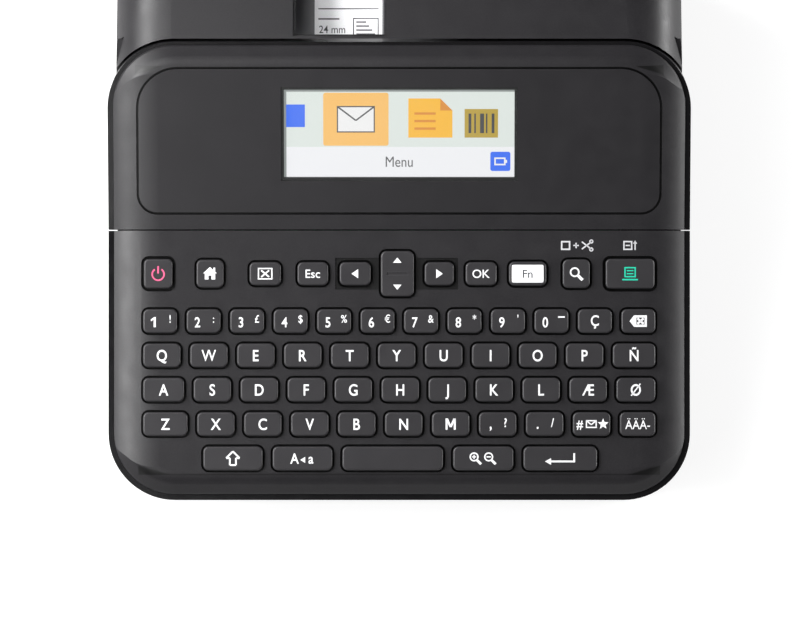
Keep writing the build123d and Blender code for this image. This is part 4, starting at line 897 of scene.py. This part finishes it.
# Printing on the cassette's sticker
sticker_origin = (-16.8, 49.75)
sticker_print = Drawing().at(*sticker_origin)
sticker_print.words("24 mm", -5.4, 1.0, 2.6, weight=thin)
for width, height in ((9.0, -1.6), (7.0, 4.4)):
    sticker_print.rectangle(-10.0, height, -10.0 + width, height + 0.5)
sticker_print.outline(1.5, -1.8, 10.0, 5.0, 0.35)
for number in range(4):
    sticker_print.rectangle(2.6, -0.9 + 1.4 * number, 8.9 - number, -0.4 + 1.4 * number)
sticker_print.rectangle(-10.0, 8.0, 10.0, 8.4)
sticker_print.words("24", 0, 16.0, 7.0, weight=0.01)
sticker_print.rectangle(-10.0, 23.0, 10.0, 23.4)
print_level = cassette_label_top + ink_rise
lay(sticker_print, "cassette_label_print", flat_frame, print_level, "body", ink_dark)


# Floor, light and camera
def white_to_the_eye(nodes, links):
    """1 for camera, gloss and see-through rays, 0 for the rays that light the object."""
    path = nodes.new("ShaderNodeLightPath")
    total = path.outputs["Is Camera Ray"]
    for name in ("Is Glossy Ray", "Is Transmission Ray"):
        add = nodes.new("ShaderNodeMath")
        add.operation = "MAXIMUM"
        links.new(total, add.inputs[0])
        links.new(path.outputs[name], add.inputs[1])
        total = add.outputs[0]
    return total


floor_half = 6.0
floor_grey = (0.4, 0.4, 0.4, 1.0)
floor_white = 0.74
fill_light = 0.13
floor_mesh = bpy.data.meshes.new("floor")
floor_corners = [(-1, -1), (1, -1), (1, 1), (-1, 1)]
floor_mesh.from_pydata([(floor_half * x, floor_half * y, 0) for x, y in floor_corners], [], [(0, 1, 2, 3)])
floor = bpy.data.objects.new("floor", floor_mesh)
scene.collection.objects.link(floor)
floor_material, floor_tree, floor_shader = start_material("floor_white", floor_grey, 0.9)
floor_shader.inputs["Specular IOR Level"].default_value = 0.1
floor_shader.inputs["Emission Color"].default_value = (1.0, 1.0, 1.0, 1.0)
floor_lift = floor_tree.nodes.new("ShaderNodeMath")
floor_lift.operation = "MULTIPLY"
floor_lift.inputs[1].default_value = floor_white
floor_tree.links.new(white_to_the_eye(floor_tree.nodes, floor_tree.links), floor_lift.inputs[0])
floor_tree.links.new(floor_lift.outputs[0], floor_shader.inputs["Emission Strength"])
floor_mesh.materials.append(floor_material)

world = bpy.data.worlds.new("studio")
world.use_nodes = True
scene.world = world
background = world.node_tree.nodes["Background"]
background.inputs["Color"].default_value = (1.0, 1.0, 1.0, 1.0)
background.inputs["Strength"].default_value = fill_light


def softbox(name, place, target, width, height, power):
    """Large soft lamp that faces a target, in metres and watts."""
    lamp = bpy.data.lights.new(name, "AREA")
    lamp.shape = "RECTANGLE"
    lamp.size = width
    lamp.size_y = height
    lamp.energy = power
    holder = bpy.data.objects.new(name, lamp)
    holder.location = place
    holder.rotation_euler = (Vector(target) - Vector(place)).to_track_quat("-Z", "Y").to_euler()
    scene.collection.objects.link(holder)


lamp_target = (0.0, 0.0, 0.05)
softbox("light_left", (-0.72, 0.05, 0.6), lamp_target, width=0.9, height=0.35, power=21.0)
softbox("light_right", (0.75, 0.05, 0.17), lamp_target, width=0.7, height=0.1, power=8.0)
softbox("light_top", (-0.22, 0.12, 0.55), lamp_target, width=0.3, height=0.22, power=1.4)
softbox("light_front", (-0.25, -0.33, 0.5), lamp_target, width=0.25, height=0.25, power=0.7)

# The photo looks square at the deck through a long lens
view_distance = 2.0
pixels_per_mm = 3.036
image_width = 800
image_height = 624
object_middle_pixel = 399.2
seam_pixel = 230.6
aim_x = (image_width / 2 - object_middle_pixel) / pixels_per_mm
aim_along = -(image_height / 2 - seam_pixel) / pixels_per_mm
camera_data = bpy.data.cameras.new("camera")
camera_data.sensor_width = 36.0
camera_data.lens = pixels_per_mm / mm * view_distance * camera_data.sensor_width / image_width
camera = bpy.data.objects.new("camera", camera_data)
scene.collection.objects.link(camera)
camera_frame = deck_frame.copy()
camera_frame.translation = deck_frame @ Vector((aim_x * mm, aim_along * mm, view_distance))
camera.matrix_world = camera_frame
scene.camera = camera
scene.view_settings.view_transform = "Standard"
